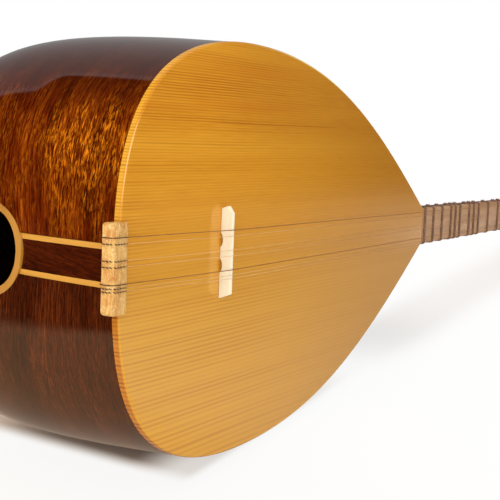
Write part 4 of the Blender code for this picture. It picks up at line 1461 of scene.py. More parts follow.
@dataclass
class StringBlock(Workpiece):
    """The sanded block over the corner of the tail."""

    ends: Pair = (-0.0263, 0.0234)
    end_rounding: float = 0.0020
    end_shrink: float = 0.26
    overlap: float = 0.0050
    overhang: float = 0.0076
    height: float = 0.0022
    drop: float = 0.0064
    corner: float = 0.0012
    gap: float = 0.0003

    def outline(self) -> np.ndarray:
        """The block seen from its end.

        Returns:
            The outline's points, along and up.
        """
        tail, bend, lip = -self.overhang, 2 * self.corner, self.corner / 2
        back = arc((tail + bend, self.height - bend), (bend, bend), 180, 90, 7)
        front = arc((self.overlap - lip, self.height - lip), (lip, lip), 90, 0, 4)
        inner = [(self.overlap, self.gap), (-self.gap, self.gap), (-self.gap, -self.drop),
                 (tail + self.corner, -self.drop)]
        return np.vstack([[(tail, -self.drop + self.corner)], back, front, inner])

    def rings(self) -> np.ndarray:
        """The block's sections, shrunk towards its inner corner at both rounded ends.

        Returns:
            The sections' points, rings by points by 3.
        """
        low, high = self.ends
        outline, inner = self.outline(), np.array([-self.gap, self.gap])
        turns = np.linspace(0, math.pi / 2, 7)
        sizes = list(1 - self.end_shrink * (1 - np.sin(turns)))
        inset = self.end_rounding * (1 - np.cos(turns))
        stations = list(zip(low + inset, sizes)) + list(zip(high - inset, sizes))[::-1]
        sections = [(y, inner + (outline - inner) * size) for y, size in stations]
        return np.array([np.insert(flat, 1, y, axis=1) for y, flat in sections])

    def build(self) -> None:
        """Makes the block and hands it over."""
        piece = self.bench.wrap("string_block_wood", self.rings())
        smooth(piece, 40)
        finish = SandedWood("bare_boxwood")
        self.bench.deliver(piece, finish.material(self.bench.axes), BODY, "string_block", "string_block")


# The neck


def round_backed(half: float, depth: float, rim: float, squareness: float, corner: float, steps: int,
                 lift: float = 0.0) -> np.ndarray:
    """A section that is flat on top, with softened upper edges and a round back.

    Args:
        half: Half its width.
        depth: Of its back.
        rim: Depth where the back's curve starts.
        squareness: Of the back's curve, where 2 gives an ellipse.
        corner: Radius of the upper edges.
        steps: Stretches round the back.
        lift: Height of the flat top.

    Returns:
        The section's points, across and up.
    """
    angle = np.linspace(0, math.pi, steps + 1)
    across = np.copysign(np.abs(np.cos(angle)) ** (2 / squareness), np.cos(angle))
    down = np.maximum(np.sin(angle), 0.0) ** (2 / squareness)
    back = np.column_stack([half * across, -rim - (depth - rim) * down])
    left = arc((-half + corner, lift - corner), (corner, corner), 180, 90, 5)
    return np.vstack([back, left, left[::-1] * (-1, 1)])


@dataclass
class NeckForm:
    """The neck's shape and where the frets and the nut stand on it."""

    body: BodyForm
    bridge_at: float = 0.101
    scale: float = 0.860
    nut_width: float = 0.0250
    depth_body: float = 0.0270
    depth_nut: float = 0.0200
    heel_length: float = 0.060
    corner: float = 0.0012
    nut_thickness: float = 0.0040
    back_steps: int = 28

    @property
    def nut_at(self) -> float:
        """Where the nut starts."""
        return self.bridge_at + self.scale

    @property
    def end(self) -> float:
        """Where the neck ends."""
        return self.nut_at + self.nut_thickness

    def size(self, x: float) -> Pair:
        """The neck's size at a place along it.

        Args:
            x: The place.

        Returns:
            Half its width, and its depth.
        """
        run = (x - self.body.length) / (self.nut_at - self.body.length)
        half = (self.body.neck_width + (self.nut_width - self.body.neck_width) * run) / 2
        heel = max(0.0, 1 - (x - self.body.length) / self.heel_length) ** 2
        depth = self.depth_body + (self.depth_nut - self.depth_body) * run
        return half, depth + (self.body.heel_depth - self.depth_body) * heel

    def ring(self, x: float, grow: float = 0.0) -> np.ndarray:
        """The neck's section, flat on top with a round back.

        Args:
            x: Place along the neck.
            grow: How far outside the wood.

        Returns:
            The section's points.
        """
        half, depth = self.size(x)
        flat = round_backed(half + grow, depth + grow, self.body.rim_depth, self.body.heel_squareness,
                            self.corner + grow, self.back_steps, grow)
        return np.insert(flat, 0, x, axis=1)


@dataclass
class Neck(Workpiece):
    """The neck's oiled wood."""

    form: NeckForm
    heel_steps: int = 15
    far_steps: int = 44

    def build(self) -> None:
        """Makes the neck and hands it over."""
        start = self.form.body.length
        heel_end = start + self.form.heel_length
        heel = np.linspace(start, heel_end, self.heel_steps, endpoint=False)
        far = np.linspace(heel_end, self.form.end, self.far_steps)
        rings = np.array([self.form.ring(x) for x in np.concatenate([heel, far])])
        piece = self.bench.wrap("neck_wood", rings)
        smooth(piece, 40)
        finish = PlainWood("oiled_neck_wood", srgb(206, 163, 122), srgb(156, 108, 68), roughness=0.42,
                           coat=0.25)
        self.bench.deliver(piece, finish.material(self.bench.axes), BODY, "neck", "neck")


@dataclass
class Frets(Workpiece):
    """Nylon line tied round the neck, with a knot on its upper side."""

    form: NeckForm
    semitones: tuple[float, ...] = (1, 1.5, 2, 3, 3.5, 4, 5, 6, 6.5, 7, 8, 8.5, 9, 10, 11, 11.5, 12, 13, 13.5,
                                    14, 15, 16, 17)
    line: float = 0.00095
    turns: int = 3
    pitch: float = 0.00115
    clearance: float = 0.00012
    knot_below: float = 0.0012
    knot_height: float = 0.0011
    knot_steps: int = 29

    def build(self) -> None:
        """Makes every fret and hands it over on its own body."""
        finish = SmoothStuff("nylon_line", srgb(132, 95, 72), srgb(108, 77, 57), roughness=0.45, coat=0.3)
        material = finish.material(self.bench.axes)
        for number, semitone in enumerate(self.semitones, start=1):
            x = self.form.bridge_at + self.form.scale / 2 ** (semitone / 12)
            name = f"fret_{number:02d}"
            coil = self.bench.tube(name + "_line", self.coil(x), self.line / 2)
            knot = self.bench.tube(name + "_knot", self.knot(x), self.line / 2)
            choose(coil)
            knot.select_set(True)
            bpy.ops.object.join()
            self.bench.deliver(coil, material, name + "_body", "frets", name)

    def coil(self, x: float) -> np.ndarray:
        """The line's turns round the neck.

        Args:
            x: The fret's middle along the neck.

        Returns:
            The line's points.
        """
        start = x - self.pitch * self.turns / 2
        ring = self.form.ring(start, self.clearance + self.line / 2)[:, 1:]
        steps = np.vstack([ring[:-1]] * self.turns + [ring[:1]])
        return np.column_stack([start + self.pitch * np.linspace(0, self.turns, len(steps)), steps])

    def knot(self, x: float) -> np.ndarray:
        """A short hitch that crosses over the turns and back, on the neck's upper side.

        Args:
            x: The fret's middle along the neck.

        Returns:
            The knot's points.
        """
        turn = np.linspace(0, 2 * math.pi, self.knot_steps)
        outwards = np.where(turn < math.pi, 1.0, -0.2)
        along = x + 0.95 * self.pitch * self.turns / 2 * np.sin(turn)
        out = self.form.size(x)[0] + self.clearance + self.line * 1.45
        up = -self.form.body.rim_depth - self.knot_below + self.knot_height * np.sin(2 * turn)
        return np.column_stack([along, out + self.line * 0.55 * np.sin(2 * turn) ** 2 * outwards, up])


@dataclass
class Nut(Workpiece):
    """The bone nut with a slot for each string."""

    form: NeckForm
    height: float = 0.0032
    rounding: float = 0.001
    lift: float = 0.0002
    edge: float = 0.0004
    edge_lean: float = 0.0003
    bevel: float = 0.0001
    slot_depth: float = 0.0009
    slot_length: float = 0.02
    slots: tuple[float, ...] = (0.0096, 0.0076, 0.0010, -0.0010, -0.0072, -0.0090, -0.0108)

    def outline(self) -> np.ndarray:
        """The nut seen from its end.

        Returns:
            The outline's points, along and up.
        """
        thick, soft = self.form.nut_thickness, self.rounding
        back = arc((thick - soft, self.height - soft), (soft, soft), 0, 90, 6)
        front = [(self.edge_lean, self.height - self.edge), (self.edge_lean / 3, self.height - 2 * self.edge)]
        return np.vstack([[(0, self.lift), (thick, self.lift)], back, front])

    def build(self) -> None:
        """Makes the nut, files its slots and hands it over."""
        half = self.form.size(self.form.nut_at)[0] - self.form.corner
        piece = self.bench.plate("nut_bone", self.outline(), 2 * half)
        flat = corner_array(piece)[:, [0, 2, 1]]
        set_corners(piece, self.bench.axes.world(flat + (self.form.nut_at, 0, 0)))
        close_up(piece)
        cutters = [self.slot_cutter(y) for y in self.slots]
        self.bench.cut(piece, *cutters)
        self.bench.discard(*cutters)
        apply_modifier(piece, "BEVEL", width=self.bevel, segments=2, limit_method="ANGLE",
                       angle_limit=math.radians(50))
        smooth(piece)
        finish = SmoothStuff("polished_bone", srgb(238, 230, 206), srgb(222, 208, 174), roughness=0.35,
                             coat=0.3)
        self.bench.deliver(piece, finish.material(self.bench.axes), BODY, "nut", "nut")

    def slot_cutter(self, y: float) -> Any:
        """A round file's width, laid along one string."""
        centre = Vector((self.form.nut_at + self.form.nut_thickness / 2, y, self.height))
        return self.bench.cylinder(centre, Vector((1, 0, 0)), self.slot_depth, self.slot_length, 24)


# The head and the pegs


@dataclass
class HeadForm:
    """The head's shape, tilted back from the neck."""

    neck: NeckForm
    tilt: float = math.radians(8)
    length: float = 0.1839
    width: float = 0.0318
    tip_width: float = 0.0218
    depth: float = 0.024
    tip_depth: float = 0.018
    shoulder: float = 0.018
    tip_rounding: float = 0.010
    squareness: float = 5.0
    joint_gap: float = 0.0003
    peg_spacing: float = 0.032
    front_count: int = 4
    side_count: int = 3
    front_pegs_from: float = 0.036
    side_pegs_from: float = 0.052
    peg_radius: float = 0.0044
    peg_taper: float = 0.025
    peg_clearance: float = 0.0002
    back_steps: int = 32

    def point(self, along: Any, across: Any, up: Any) -> np.ndarray:
        """Points given by the head's own face.

        Args:
            along: Distance from the head's start.
            across: Distance from its middle.
            up: Height above its face.

        Returns:
            The points in the instrument's frame.
        """
        cos, sin = math.cos(self.tilt), math.sin(self.tilt)
        along, across, up = np.broadcast_arrays(along, across, up)
        return np.stack([self.neck.end + self.joint_gap + along * cos + up * sin, across,
                         -along * sin + up * cos], axis=-1).astype(float)

    def size(self, along: float) -> tuple[float, float, float]:
        """The head's size at a place along it.

        Args:
            along: Distance from the head's start.

        Returns:
            Half its width, its depth and the squareness of its back.
        """
        places = [0, self.shoulder, self.length - self.tip_rounding, self.length]
        cut = self.tip_rounding / 2
        widths = [self.neck.nut_width, self.width, self.tip_width, self.tip_width - 2 * cut]
        depths = [self.neck.depth_nut, self.depth, self.tip_depth, self.tip_depth - cut]
        squares = [self.neck.body.heel_squareness] + [self.squareness] * 3
        return (float(np.interp(along, places, widths)) / 2, float(np.interp(along, places, depths)),
                float(np.interp(along, places, squares)))

    def ring(self, along: float) -> np.ndarray:
        """The head's section, upright at the neck and square to its face beyond.

        Args:
            along: Distance from the head's start.

        Returns:
            The section's points.
        """
        half, depth, squareness = self.size(along)
        flat = round_backed(half, depth, self.neck.body.rim_depth, squareness, self.neck.corner,
                            self.back_steps)
        if along == 0:
            return np.insert(flat, 0, self.neck.end + self.joint_gap, axis=1)
        return self.point(along, flat[:, 0], flat[:, 1])

    def front_pegs(self) -> list[tuple[float, Vector, Vector]]:
        """Place, mouth of the hole and outward direction of each peg in the head's face."""
        up = Vector(self.point(0, 0, 1.0) - self.point(0, 0, 0.0))
        places = [self.front_pegs_from + i * self.peg_spacing for i in range(self.front_count)]
        return [(along, Vector(self.point(along, 0, 0)), up) for along in places]

    def side_pegs(self) -> list[tuple[float, Vector, Vector]]:
        """Place, mouth of the hole and outward direction of each peg in the head's upper side."""
        pegs = []
        for i in range(self.side_count):
            along = self.side_pegs_from + i * self.peg_spacing
            half, depth, _ = self.size(along)
            pegs.append((along, Vector(self.point(along, half, -depth / 2)), Vector((0, 1, 0))))
        return pegs


@dataclass
class Head(Workpiece):
    """The head's stained wood with its peg holes."""

    form: HeadForm
    drill_length: float = 0.06
    drill_proud: float = 0.008

    def build(self) -> None:
        """Makes the head, drills its tapered holes and hands it over."""
        form = self.form
        tip_from = form.length - form.tip_rounding
        stations = np.concatenate([np.linspace(0, form.shoulder, 5, endpoint=False),
                                   np.linspace(form.shoulder, tip_from, 24),
                                   np.linspace(tip_from, form.length, 5)[1:]])
        piece = self.bench.wrap("head_wood", np.array([form.ring(along) for along in stations]))
        radius = form.peg_radius + form.peg_clearance
        inner = radius - form.peg_taper * (self.drill_length - self.drill_proud)
        outer = radius + form.peg_taper * self.drill_proud
        cutters = [self.bench.cylinder(mouth - out * (self.drill_length / 2 - self.drill_proud), out, inner,
                                  self.drill_length, 48, outer)
                   for _, mouth, out in form.front_pegs() + form.side_pegs()]
        self.bench.cut(piece, *cutters)
        self.bench.discard(*cutters)
        smooth(piece, 35)
        finish = PlainWood("stained_head_wood", srgb(136, 74, 36), srgb(88, 42, 18), roughness=0.38, coat=0.6)
        self.bench.deliver(piece, finish.material(self.bench.axes), BODY, "head", "head")


@dataclass
class Pegs(Workpiece):
    """Seven turned pegs with flat handles, all from one set of sections with shafts of their own length."""

    form: HeadForm
    neck_length: float = 0.0095
    collar_radius: float = 0.0058
    collar_length: float = 0.0020
    handle_length: float = 0.026
    handle_width: float = 0.022
    handle_thickness: float = 0.0085
    front_tip: float = 0.0019
    side_tip: float = -0.002
    sides: int = 40
    handle_places: tuple[float, ...] = (0, 0.25, 0.55, 0.8, 0.95, 1.0)
    handle_swell: tuple[float, ...] = (0.55, 1.0, 0.95, 0.7, 0.4)
    handle_depths: tuple[float, ...] = (0.9, 0.85, 1.0, 0.9, 0.6, 0.3)

    def turned(self, shaft: float) -> list[Triple]:
        """The turned sections from the peg's tip to its collar.

        Args:
            shaft: How far the peg reaches into the head.

        Returns:
            Level, half width and half depth of each.
        """
        stem, groove = self.form.peg_radius, self.neck_length
        tip, wide = stem - self.form.peg_taper * shaft, self.collar_radius
        handle = groove + self.collar_length
        rounds = [(-shaft, tip * 0.86), (-shaft + 0.0006, tip), (0, stem), (groove - 0.0012, stem),
                  (groove - 0.0006, stem * 0.94), (groove, stem * 0.98), (groove + 0.0004, wide),
                  (groove + 0.001, wide), (handle - 0.0004, wide)]
        edge = (handle, stem, self.handle_thickness / 2 * self.handle_depths[0])
        return [(level, radius, radius) for level, radius in rounds] + [edge]

    def rings(self, shaft: float) -> np.ndarray:
        """The peg's sections along its own axis, from its tip to the end of its handle.

        Args:
            shaft: How far the peg reaches into the head.

        Returns:
            The sections' points, rings by points by 3.
        """
        run = np.linspace(0.04, 1, 22)
        wide, thick = self.handle_width / 2, self.handle_thickness / 2
        widths = [self.form.peg_radius] + [wide * share for share in self.handle_swell]
        width = np.interp(run, self.handle_places, widths)
        depth = np.interp(run, self.handle_places, [thick * share for share in self.handle_depths])
        for outline in (width, depth):
            outline[1:-1] = np.convolve(outline, (0.25, 0.5, 0.25), "valid")
        levels = self.neck_length + self.collar_length + self.handle_length * run
        keys = self.turned(shaft) + list(zip(levels, width, depth))
        angles = np.linspace(0, 2 * math.pi, self.sides, endpoint=False)
        return np.array([[(w * math.cos(a), d * math.sin(a), level) for a in angles] for level, w, d in keys])

    def build(self) -> None:
        """Makes every peg and hands it over on its own body."""
        finish = PlainWood("dark_peg_wood", srgb(66, 38, 26), srgb(30, 17, 12), Grain.ACROSS, roughness=0.32,
                           coat=0.5)
        material = finish.material(self.bench.axes)
        for number, (place, mouth, out) in enumerate(self.form.front_pegs(), start=1):
            shaft = self.form.size(place)[1] + self.front_tip
            self.peg(f"peg_front_{number}", mouth, out, shaft, material)
        for number, (place, mouth, out) in enumerate(self.form.side_pegs(), start=1):
            shaft = 2 * self.form.size(place)[0] + self.side_tip
            self.peg(f"peg_side_{number}", mouth, out, shaft, material)

    def peg(self, name: str, mouth: Vector, out: Vector, shaft: float, material: Any) -> None:
        """One peg in its hole, with the width of its handle along the head.

        Args:
            name: The peg's node.
            mouth: Middle of the hole's mouth.
            out: The peg's direction.
            shaft: How far it reaches into the head.
            material: Its finish.
        """
        along = Vector(self.form.point(1.0, 0, 0) - self.form.point(0.0, 0, 0))
        basis = np.array([along, out.cross(along), out])
        piece = self.bench.wrap(name + "_wood", self.rings(shaft) @ basis + np.array(mouth))
        smooth(piece, 38)
        self.bench.deliver(piece, material, name + "_body", "pegs", name)


# Strings


@dataclass
class Strings(Workpiece):
    """Seven strings with the twisted loops that hook them to the block."""

    block: StringBlock
    bridge: Bridge
    nut: Nut
    head: HeadForm
    wound: float = 0.00050
    plain: float = 0.00028
    at_block: tuple[float, ...] = (0.0155, 0.0120, 0.0030, -0.0003, -0.0096, -0.0116, -0.0135)
    at_bridge: tuple[float, ...] = (0.0145, 0.0108, 0.0023, -0.0012, -0.0097, -0.0130, -0.0151)
    wound_ones: tuple[int, ...] = (0, 4)
    tuck: float = 0.004
    bend: float = 0.0015
    clearance: float = 0.0003
    turns: int = 4
    turn_steps: int = 36
    winding_gap: float = 0.00010
    side_start: float = 0.0030
    front_start: float = 0.0022
    edge_lead: float = 0.022
    loop_pitch: float = 0.0023
    loop_steps: int = 16
    loop_thickness: float = 0.00036
    loop_length: float = 0.0145
    loop_start: float = 0.0010

    def build(self) -> None:
        """Makes every string and hands it over."""
        axes = self.bench.axes
        plain = Wire("plain_steel", srgb(242, 202, 140), srgb(226, 180, 112), 0.4).material(axes)
        wound = Wire("wound_bronze", srgb(186, 128, 66), srgb(140, 88, 42), 0.4, wrap=0.0006).material(axes)
        # The twisted loops' colours are a painted glint and a painted shadow along each twist.
        twisted = Wire("twisted_steel", srgb(255, 232, 170), srgb(34, 20, 8), 0.45, twist=self.loop_pitch,
                       painted_block_shade_until=-1.0).material(axes)
        for number in range(len(self.at_block)):
            is_wound = number in self.wound_ones
            diameter = self.wound if is_wound else self.plain
            run = self.run(number, diameter)
            path = np.vstack([smooth_corners(run, self.bend), self.peg_end(number, diameter)])
            piece = self.bench.tube(f"string_{number + 1}_wire", path, diameter / 2)
            if not is_wound:
                self.hook(f"string_{number + 1}_loop", self.loop(run, diameter), twisted)
            material, slot = (wound, "wound_strings") if is_wound else (plain, "plain_strings")
            self.bench.deliver(piece, material, BODY, slot, f"string_{number + 1}")

    def hook(self, name: str, middle: np.ndarray, material: Any) -> None:
        """The twisted loop of one string, with its twist's own coordinates.

        Args:
            name: The piece's name.
            middle: Its middle line.
            material: Its finish.
        """
        loop = self.bench.tube(name, middle, self.loop_thickness / 2)
        spots = self.bench.axes.local(corner_array(loop))
        nearest = np.linalg.norm(spots[:, None] - middle[None], axis=2).argmin(axis=1)
        passed = nearest * self.loop_length / (len(middle) - 1)
        self.bench.set_flow(loop, np.column_stack([passed, passed]))
        self.bench.deliver(loop, material, BODY, "plain_strings")

    def run(self, number: int, diameter: float) -> np.ndarray:
        """A string from under the block to the nut.

        Args:
            number: The string's number, from 0.
            diameter: Its thickness.

        Returns:
            The points where it bends.
        """
        off = self.clearance + diameter / 2
        block, bridge, nut = self.at_block[number], self.at_bridge[number], self.nut.slots[number]
        tail, top, bottom = -self.block.overhang, self.block.height, -self.block.drop
        corner, form = self.block.corner, self.nut.form
        level = self.nut.height - self.nut.slot_depth + off
        return np.array([
            (tail + self.tuck, block, bottom - off), (tail + corner - off / 2, block, bottom - off),
            (tail - off, block, bottom + corner - off / 2), (tail - off, block, top - 2 * corner + off / 2),
            (tail + 2 * corner - off / 2, block, top + off), (self.block.overlap, block, top + off),
            (self.bridge.at, bridge, self.bridge.height + self.clearance + off),
            (form.nut_at, nut, level), (form.end, nut, level)])

    def loop(self, run: np.ndarray, diameter: float) -> np.ndarray:
        """The string's own end, twisted round it over the block's corner.

        Args:
            run: The string's bends.
            diameter: Its thickness.

        Returns:
            The loop's middle line.
        """
        line = smooth_corners(run[2:7], self.bend)
        start, steps = self.loop_start, int(self.loop_length / self.loop_pitch * self.loop_steps)
        at = np.linspace(start, start + self.loop_length, steps)
        middle = points_at(line, run_along(line), at)
        tangent = np.gradient(middle, axis=0)
        tangent /= np.linalg.norm(tangent, axis=1)[:, None]
        side = np.array([0.0, 1.0, 0.0]) - tangent * tangent[:, 1:2]
        side /= np.linalg.norm(side, axis=1)[:, None]
        up = np.cross(tangent, side)
        angle = (2 * math.pi * (at - start) / self.loop_pitch)[:, None]
        return middle + (diameter + self.loop_thickness) / 2 * (side * np.cos(angle) + up * np.sin(angle))

    def winding(self, start: float, sense: int, radius: float, diameter: float) -> tuple[np.ndarray, ...]:
        """A string's turns on its peg: both parts of the circle and the distance along the peg."""
        turn = np.linspace(0, self.turns, self.turns * self.turn_steps + 1)
        angle = start + sense * 2 * math.pi * turn
        return radius * np.cos(angle), radius * np.sin(angle), (diameter + self.winding_gap) * turn

    def peg_end(self, number: int, diameter: float) -> np.ndarray:
        """A string's end on its peg.

        Args:
            number: The string's number, from 0.
            diameter: Its thickness.

        Returns:
            The end's points.
        """
        radius = self.head.peg_radius + self.clearance / 2 + diameter / 2
        if number < self.head.side_count:
            return self.side_end(self.head.side_pegs()[number][0], radius, diameter)
        along = self.head.front_pegs()[number - self.head.side_count][0]
        start = self.touch((-along, self.nut.slots[number]), radius, 1)
        x, y, rise = self.winding(start, 1, radius, diameter)
        return self.head.point(along + x, y, self.front_start + rise)

    def side_end(self, along: float, radius: float, diameter: float) -> np.ndarray:
        """Over the edge of the head and round a side peg.

        Args:
            along: The peg's place.
            radius: From the peg's axis to the string's middle.
            diameter: The string's thickness.

        Returns:
            The end's points.
        """
        half, depth, _ = self.head.size(along)
        off, edge = self.clearance + diameter / 2, along - self.edge_lead
        lead = self.head.point(edge, self.head.size(edge)[0] + off, off)
        start = self.touch((-self.edge_lead, off + depth / 2), radius, -1)
        x, z, rise = self.winding(start, -1, radius, diameter)
        return np.vstack([lead, self.head.point(along + x, half + self.side_start + rise, z - depth / 2)])

    @staticmethod
    def touch(point: Pair, radius: float, side: int) -> float:
        """Angle where a line from a point touches a circle round the origin."""
        return math.atan2(point[1], point[0]) + side * math.acos(radius / math.hypot(*point))


# The studio


@dataclass
class Studio:
    """A white sweep, soft light and the camera at the photograph's angle."""

    axes: InstrumentAxes
    camera_at: Triple = (-0.4727, 0.0742, 0.3626)
    camera_towards: Triple = (0.1354, -0.0008, 0.0)
    camera_roll: float = math.radians(2.31)
    lens: float = 80.9
    floor_size: float = 14.0
    floor_drop: float = 0.0005
    floor_white: Colour = (0.90, 0.88, 0.86, 1.0)
    # Painted shadow: darker, warmer table colour in the bowl's shadow.
    painted_shadow_tint: Colour = (0.78, 0.60, 0.47, 1.0)
    floor_dark: Colour = (0.02, 0.02, 0.02, 1.0)
    # Painted reflection: glow of the table by the bowl, seen only in the lacquer.
    table_glow: Colour = (0.66, 0.50, 0.37, 1.0)
    # Painted warm light on the white near the tail.
    near_white: Colour = (0.99, 0.955, 0.92, 1.0)
    # Painted shade: warmer white where the shadow is partly lifted.
    shade_white: Colour = (1.0, 0.88, 0.75, 1.0)
    mirror_tint: Colour = (0.78, 0.53, 0.30, 1.0)
    floor_lift: float = 0.93
    far_lift: float = 0.3
    sky_low: float = 0.75
    sky_high: float = 0.96
    shade_from: Pair = (-0.4885, -0.0710)
    shade_blur: float = 0.010
    neck_line: float = -0.05
    contact_reach: float = 0.08
    table_end: Pair = (0.78, 0.96)
    table_ripple: float = 0.3
    broad_ripple: Pattern = Pattern((3, 3, 3), 1)
    ambient: float = 0.68
    overhead: float = 0.35
    side_light_from: Triple = (-0.88, -0.10, 0.46)
    side_light: float = 1.5
    panel_edge: float = 0.20
    panel_drop: float = 0.24
    panel_corner: Pair = (0.655, 0.712)
    panel_wave: Pattern = Pattern((3, 3, 3), 2)
    panel_ripple: float = 0.10
    panel_light: float = 0.34
    panel_dim: float = 0.30
    panel_line: float = 0.12
    front_light_from: Triple = (-0.46, -0.75, 0.47)
    front_light: float = 4.0

    def build(self) -> None:
        """Makes the camera, the floor and the world."""
        self.camera()
        self.floor()
        self.world()
        bpy.context.scene.view_settings.view_transform = "Standard"

    def camera(self) -> None:
        """Puts the camera where the photograph was taken from."""
        place = Vector(self.axes.world(np.array(self.camera_at)))
        aim = Vector(self.axes.world(np.array(self.camera_towards)))
        forward = (aim - place).normalized()
        right = forward.cross(self.axes.turn @ Vector((0, 1, 0))).normalized()
        up = right.cross(forward)
        cos, sin = math.cos(self.camera_roll), math.sin(self.camera_roll)
        turn = Matrix((right * cos + up * sin, up * cos - right * sin, -forward)).transposed()
        data = bpy.data.cameras.new("camera")
        data.lens = self.lens
        data.sensor_width = 36.0
        data.clip_start = 0.01
        camera = bpy.data.objects.new("camera", data)
        bpy.context.scene.collection.objects.link(camera)
        camera.matrix_world = Matrix.Translation(place) @ turn.to_4x4()
        bpy.context.scene.camera = camera

    def floor(self) -> None:
        """A white table that keeps the shadow and fades into the white behind it."""
        deselect()
        bpy.ops.mesh.primitive_plane_add(size=self.floor_size, location=(0, 0, -self.floor_drop))
        floor = bpy.context.object
        floor.name = "studio_floor"
        material = bpy.data.materials.new("white_floor")
        material.use_nodes = True
        wiring = Wiring(material.node_tree)
        place = wiring.node("ShaderNodeTexCoord").outputs["Object"]
        x, y, _ = wiring.split(place)
        shaded = self.contact_shade(wiring, x, y)
        shader = wiring.tree.nodes["Principled BSDF"]
        # Painted shadow: the table takes a darker, warmer colour inside the shadow mask.
        wiring.feed(shader.inputs["Base Color"], wiring.mix(shaded, self.floor_white, self.painted_shadow_tint))
        wiring.feed(shader.inputs["Roughness"], 0.9)
        wiring.feed(shader.inputs["Specular IOR Level"], 0.0)
        mirrored = self.mirrored_table(wiring, place, shader.outputs[0])
        away = ((x + 0.2) * (x + 0.2) + y * y) ** 0.5
        under_neck = wiring.step((y - self.neck_line).size(), 0.055, 0.015) * wiring.step(x, -0.26, -0.10)
        lift = (1.0 - shaded) * (self.floor_lift - under_neck * (self.floor_lift - self.far_lift))
        lift = lift.largest(wiring.step(away, 0.7, 1.6)) * wiring.ray("Camera")
        warmth = wiring.mix(wiring.step(x, -0.30, -0.75), (1, 1, 1, 1), self.near_white)
        # Painted warm light near the tail, and painted warm shade where the shadow meets the white.
        white = wiring.glow(wiring.mix(shaded, warmth, self.shade_white))
        seen = wiring.blend(lift, mirrored, white)
        wiring.feed(wiring.tree.nodes["Material Output"].inputs["Surface"], seen)
        floor.data.materials.append(material)

    def mirrored_table(self, wiring: Wiring, place: Any, shader: Any) -> Any:
        """The table as the lacquer mirrors it, a painted reflection: tinted, glowing by the bowl and dark
        beyond its end.

        Args:
            wiring: The floor's nodes.
            place: Place on the floor.
            shader: The table's own shader.

        Returns:
            The mixed shader's socket.
        """
        x, y, _ = wiring.split(place)
        glossy = wiring.ray("Glossy")
        ripple = wiring.clouds(place, self.broad_ripple)
        front = wiring.step((x + (ripple - 0.5) * self.table_ripple) * -1.0, *self.table_end)
        behind = wiring.step(y, -0.3, -0.15) * wiring.step(x, 0.15, 0.3)
        fading = wiring.step(x, -0.62, 0.0) * 0.85 + wiring.step(x, 0.0, 1.2) * 0.15
        unlit = fading.largest(front) * (1.0 - behind) * glossy
        warm = wiring.node("ShaderNodeBsdfDiffuse", None, {"Color": self.mirror_tint}).outputs[0]
        lit = wiring.blend(wiring.step(x, -0.35, -0.60) * glossy, shader, warm)
        # Painted reflection: a warm glow on the table by the bowl, seen only in the lacquer.
        contact = wiring.step(x, -0.565, -0.515) * wiring.step(x, -0.40, -0.46) * glossy
        lit = wiring.blend(contact * 0.45, lit, wiring.glow(self.table_glow))
        return wiring.blend(unlit, lit, wiring.glow(self.floor_dark))

    def contact_shade(self, wiring: Wiring, x: Value, y: Value) -> Value:
        """The mask of the shadow where the bowl rests on the table: there the rendered shade is not lifted to
        white, and the table is painted darker and warmer.

        Args:
            wiring: The floor's nodes.
            x: Place along the floor.
            y: Place across the floor.

        Returns:
            The mask.
        """
        open_sky = wiring.node("ShaderNodeAmbientOcclusion", {"samples": 8}, {"Distance": self.contact_reach})
        covered = wiring.step(Value(wiring.tree, open_sky.outputs["AO"]), self.sky_high, self.sky_low)
        tail_x, front_y = self.shade_from
        shaded = covered * wiring.step(x, tail_x - self.shade_blur, tail_x + self.shade_blur)
        shaded = shaded * wiring.step(x, -0.22, -0.38)
        shaded = shaded * wiring.step(y, front_y - self.shade_blur / 2, front_y + self.shade_blur / 2)
        return shaded * (0.30 + wiring.step(y, front_y + 0.011, front_y + 0.051) * 0.70)

    def world(self) -> None:
        """White for the camera, soft light from above, and a dark room with dim panels in reflections."""
        world = bpy.data.worlds.new("room")
        bpy.context.scene.world = world
        world.use_nodes = True
        wiring = Wiring(world.node_tree)
        wiring.tree.nodes.clear()
        direction = wiring.node("ShaderNodeTexCoord").outputs["Generated"]
        x, y, z = wiring.split(direction)
        height = z.largest(0.0)
        ripple = wiring.clouds(direction, self.panel_wave)
        inside = x + (ripple - 0.5) * self.panel_ripple + wiring.step(y, *self.panel_corner) * self.panel_drop
        panel = wiring.step(inside, self.panel_edge - 0.02, self.panel_edge + 0.02)
        line = panel * wiring.step(inside, self.panel_edge + 0.08, self.panel_edge + 0.03)
        behind = wiring.step(y, 0.10, 0.40)
        dim = 0.03 + height * self.panel_dim
        back = panel * (dim + (self.panel_light - dim) * behind) + line * self.panel_line
        front_x, front_y, front_z = self.front_light_from
        facing = x * front_x + y * front_y + z * front_z
        mirrored = back + wiring.step(facing, 0.90, 0.98) * self.front_light
        side_x, side_y, side_z = self.side_light_from
        beside = (x * side_x + y * side_y + z * side_z).largest(0.0)
        soft = self.ambient + height ** 3.0 * self.overhead + beside * beside * self.side_light
        level = mirrored + (soft - mirrored) * (1.0 - wiring.ray("Glossy"))
        level = level + (1.0 - level) * wiring.ray("Camera")
        light = wiring.node("ShaderNodeBackground", None, {"Color": (1, 1, 1, 1), "Strength": level})
        out = wiring.node("ShaderNodeOutputWorld")
        wiring.feed(out.inputs["Surface"], light.outputs[0])


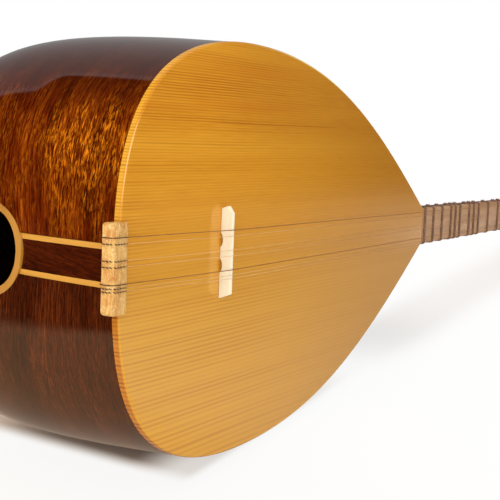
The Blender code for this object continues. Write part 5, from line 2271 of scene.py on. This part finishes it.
def main() -> None:
    """Builds every part of the instrument and the studio around it."""
    logging.basicConfig(level=logging.INFO, format="%(name)s %(message)s")
    axes = InstrumentAxes.from_frame(frame["record"], frame["nodes"])
    bench = Bench(axes)
    Studio(axes).build()
    body = BodyForm()
    neck = NeckForm(body)
    head = HeadForm(neck)
    bridge, block, nut = Bridge(bench), StringBlock(bench), Nut(bench, neck)
    Soundboard(bench, body).build()
    Bowl(bench, body).build()
    InnerParts(bench).build()
    bridge.build()
    block.build()
    Neck(bench, neck).build()
    Frets(bench, neck).build()
    nut.build()
    Head(bench, head).build()
    Pegs(bench, head).build()
    Strings(bench, block, bridge, nut, head).build()
    deselect()


if __name__ == "__main__":
    main()
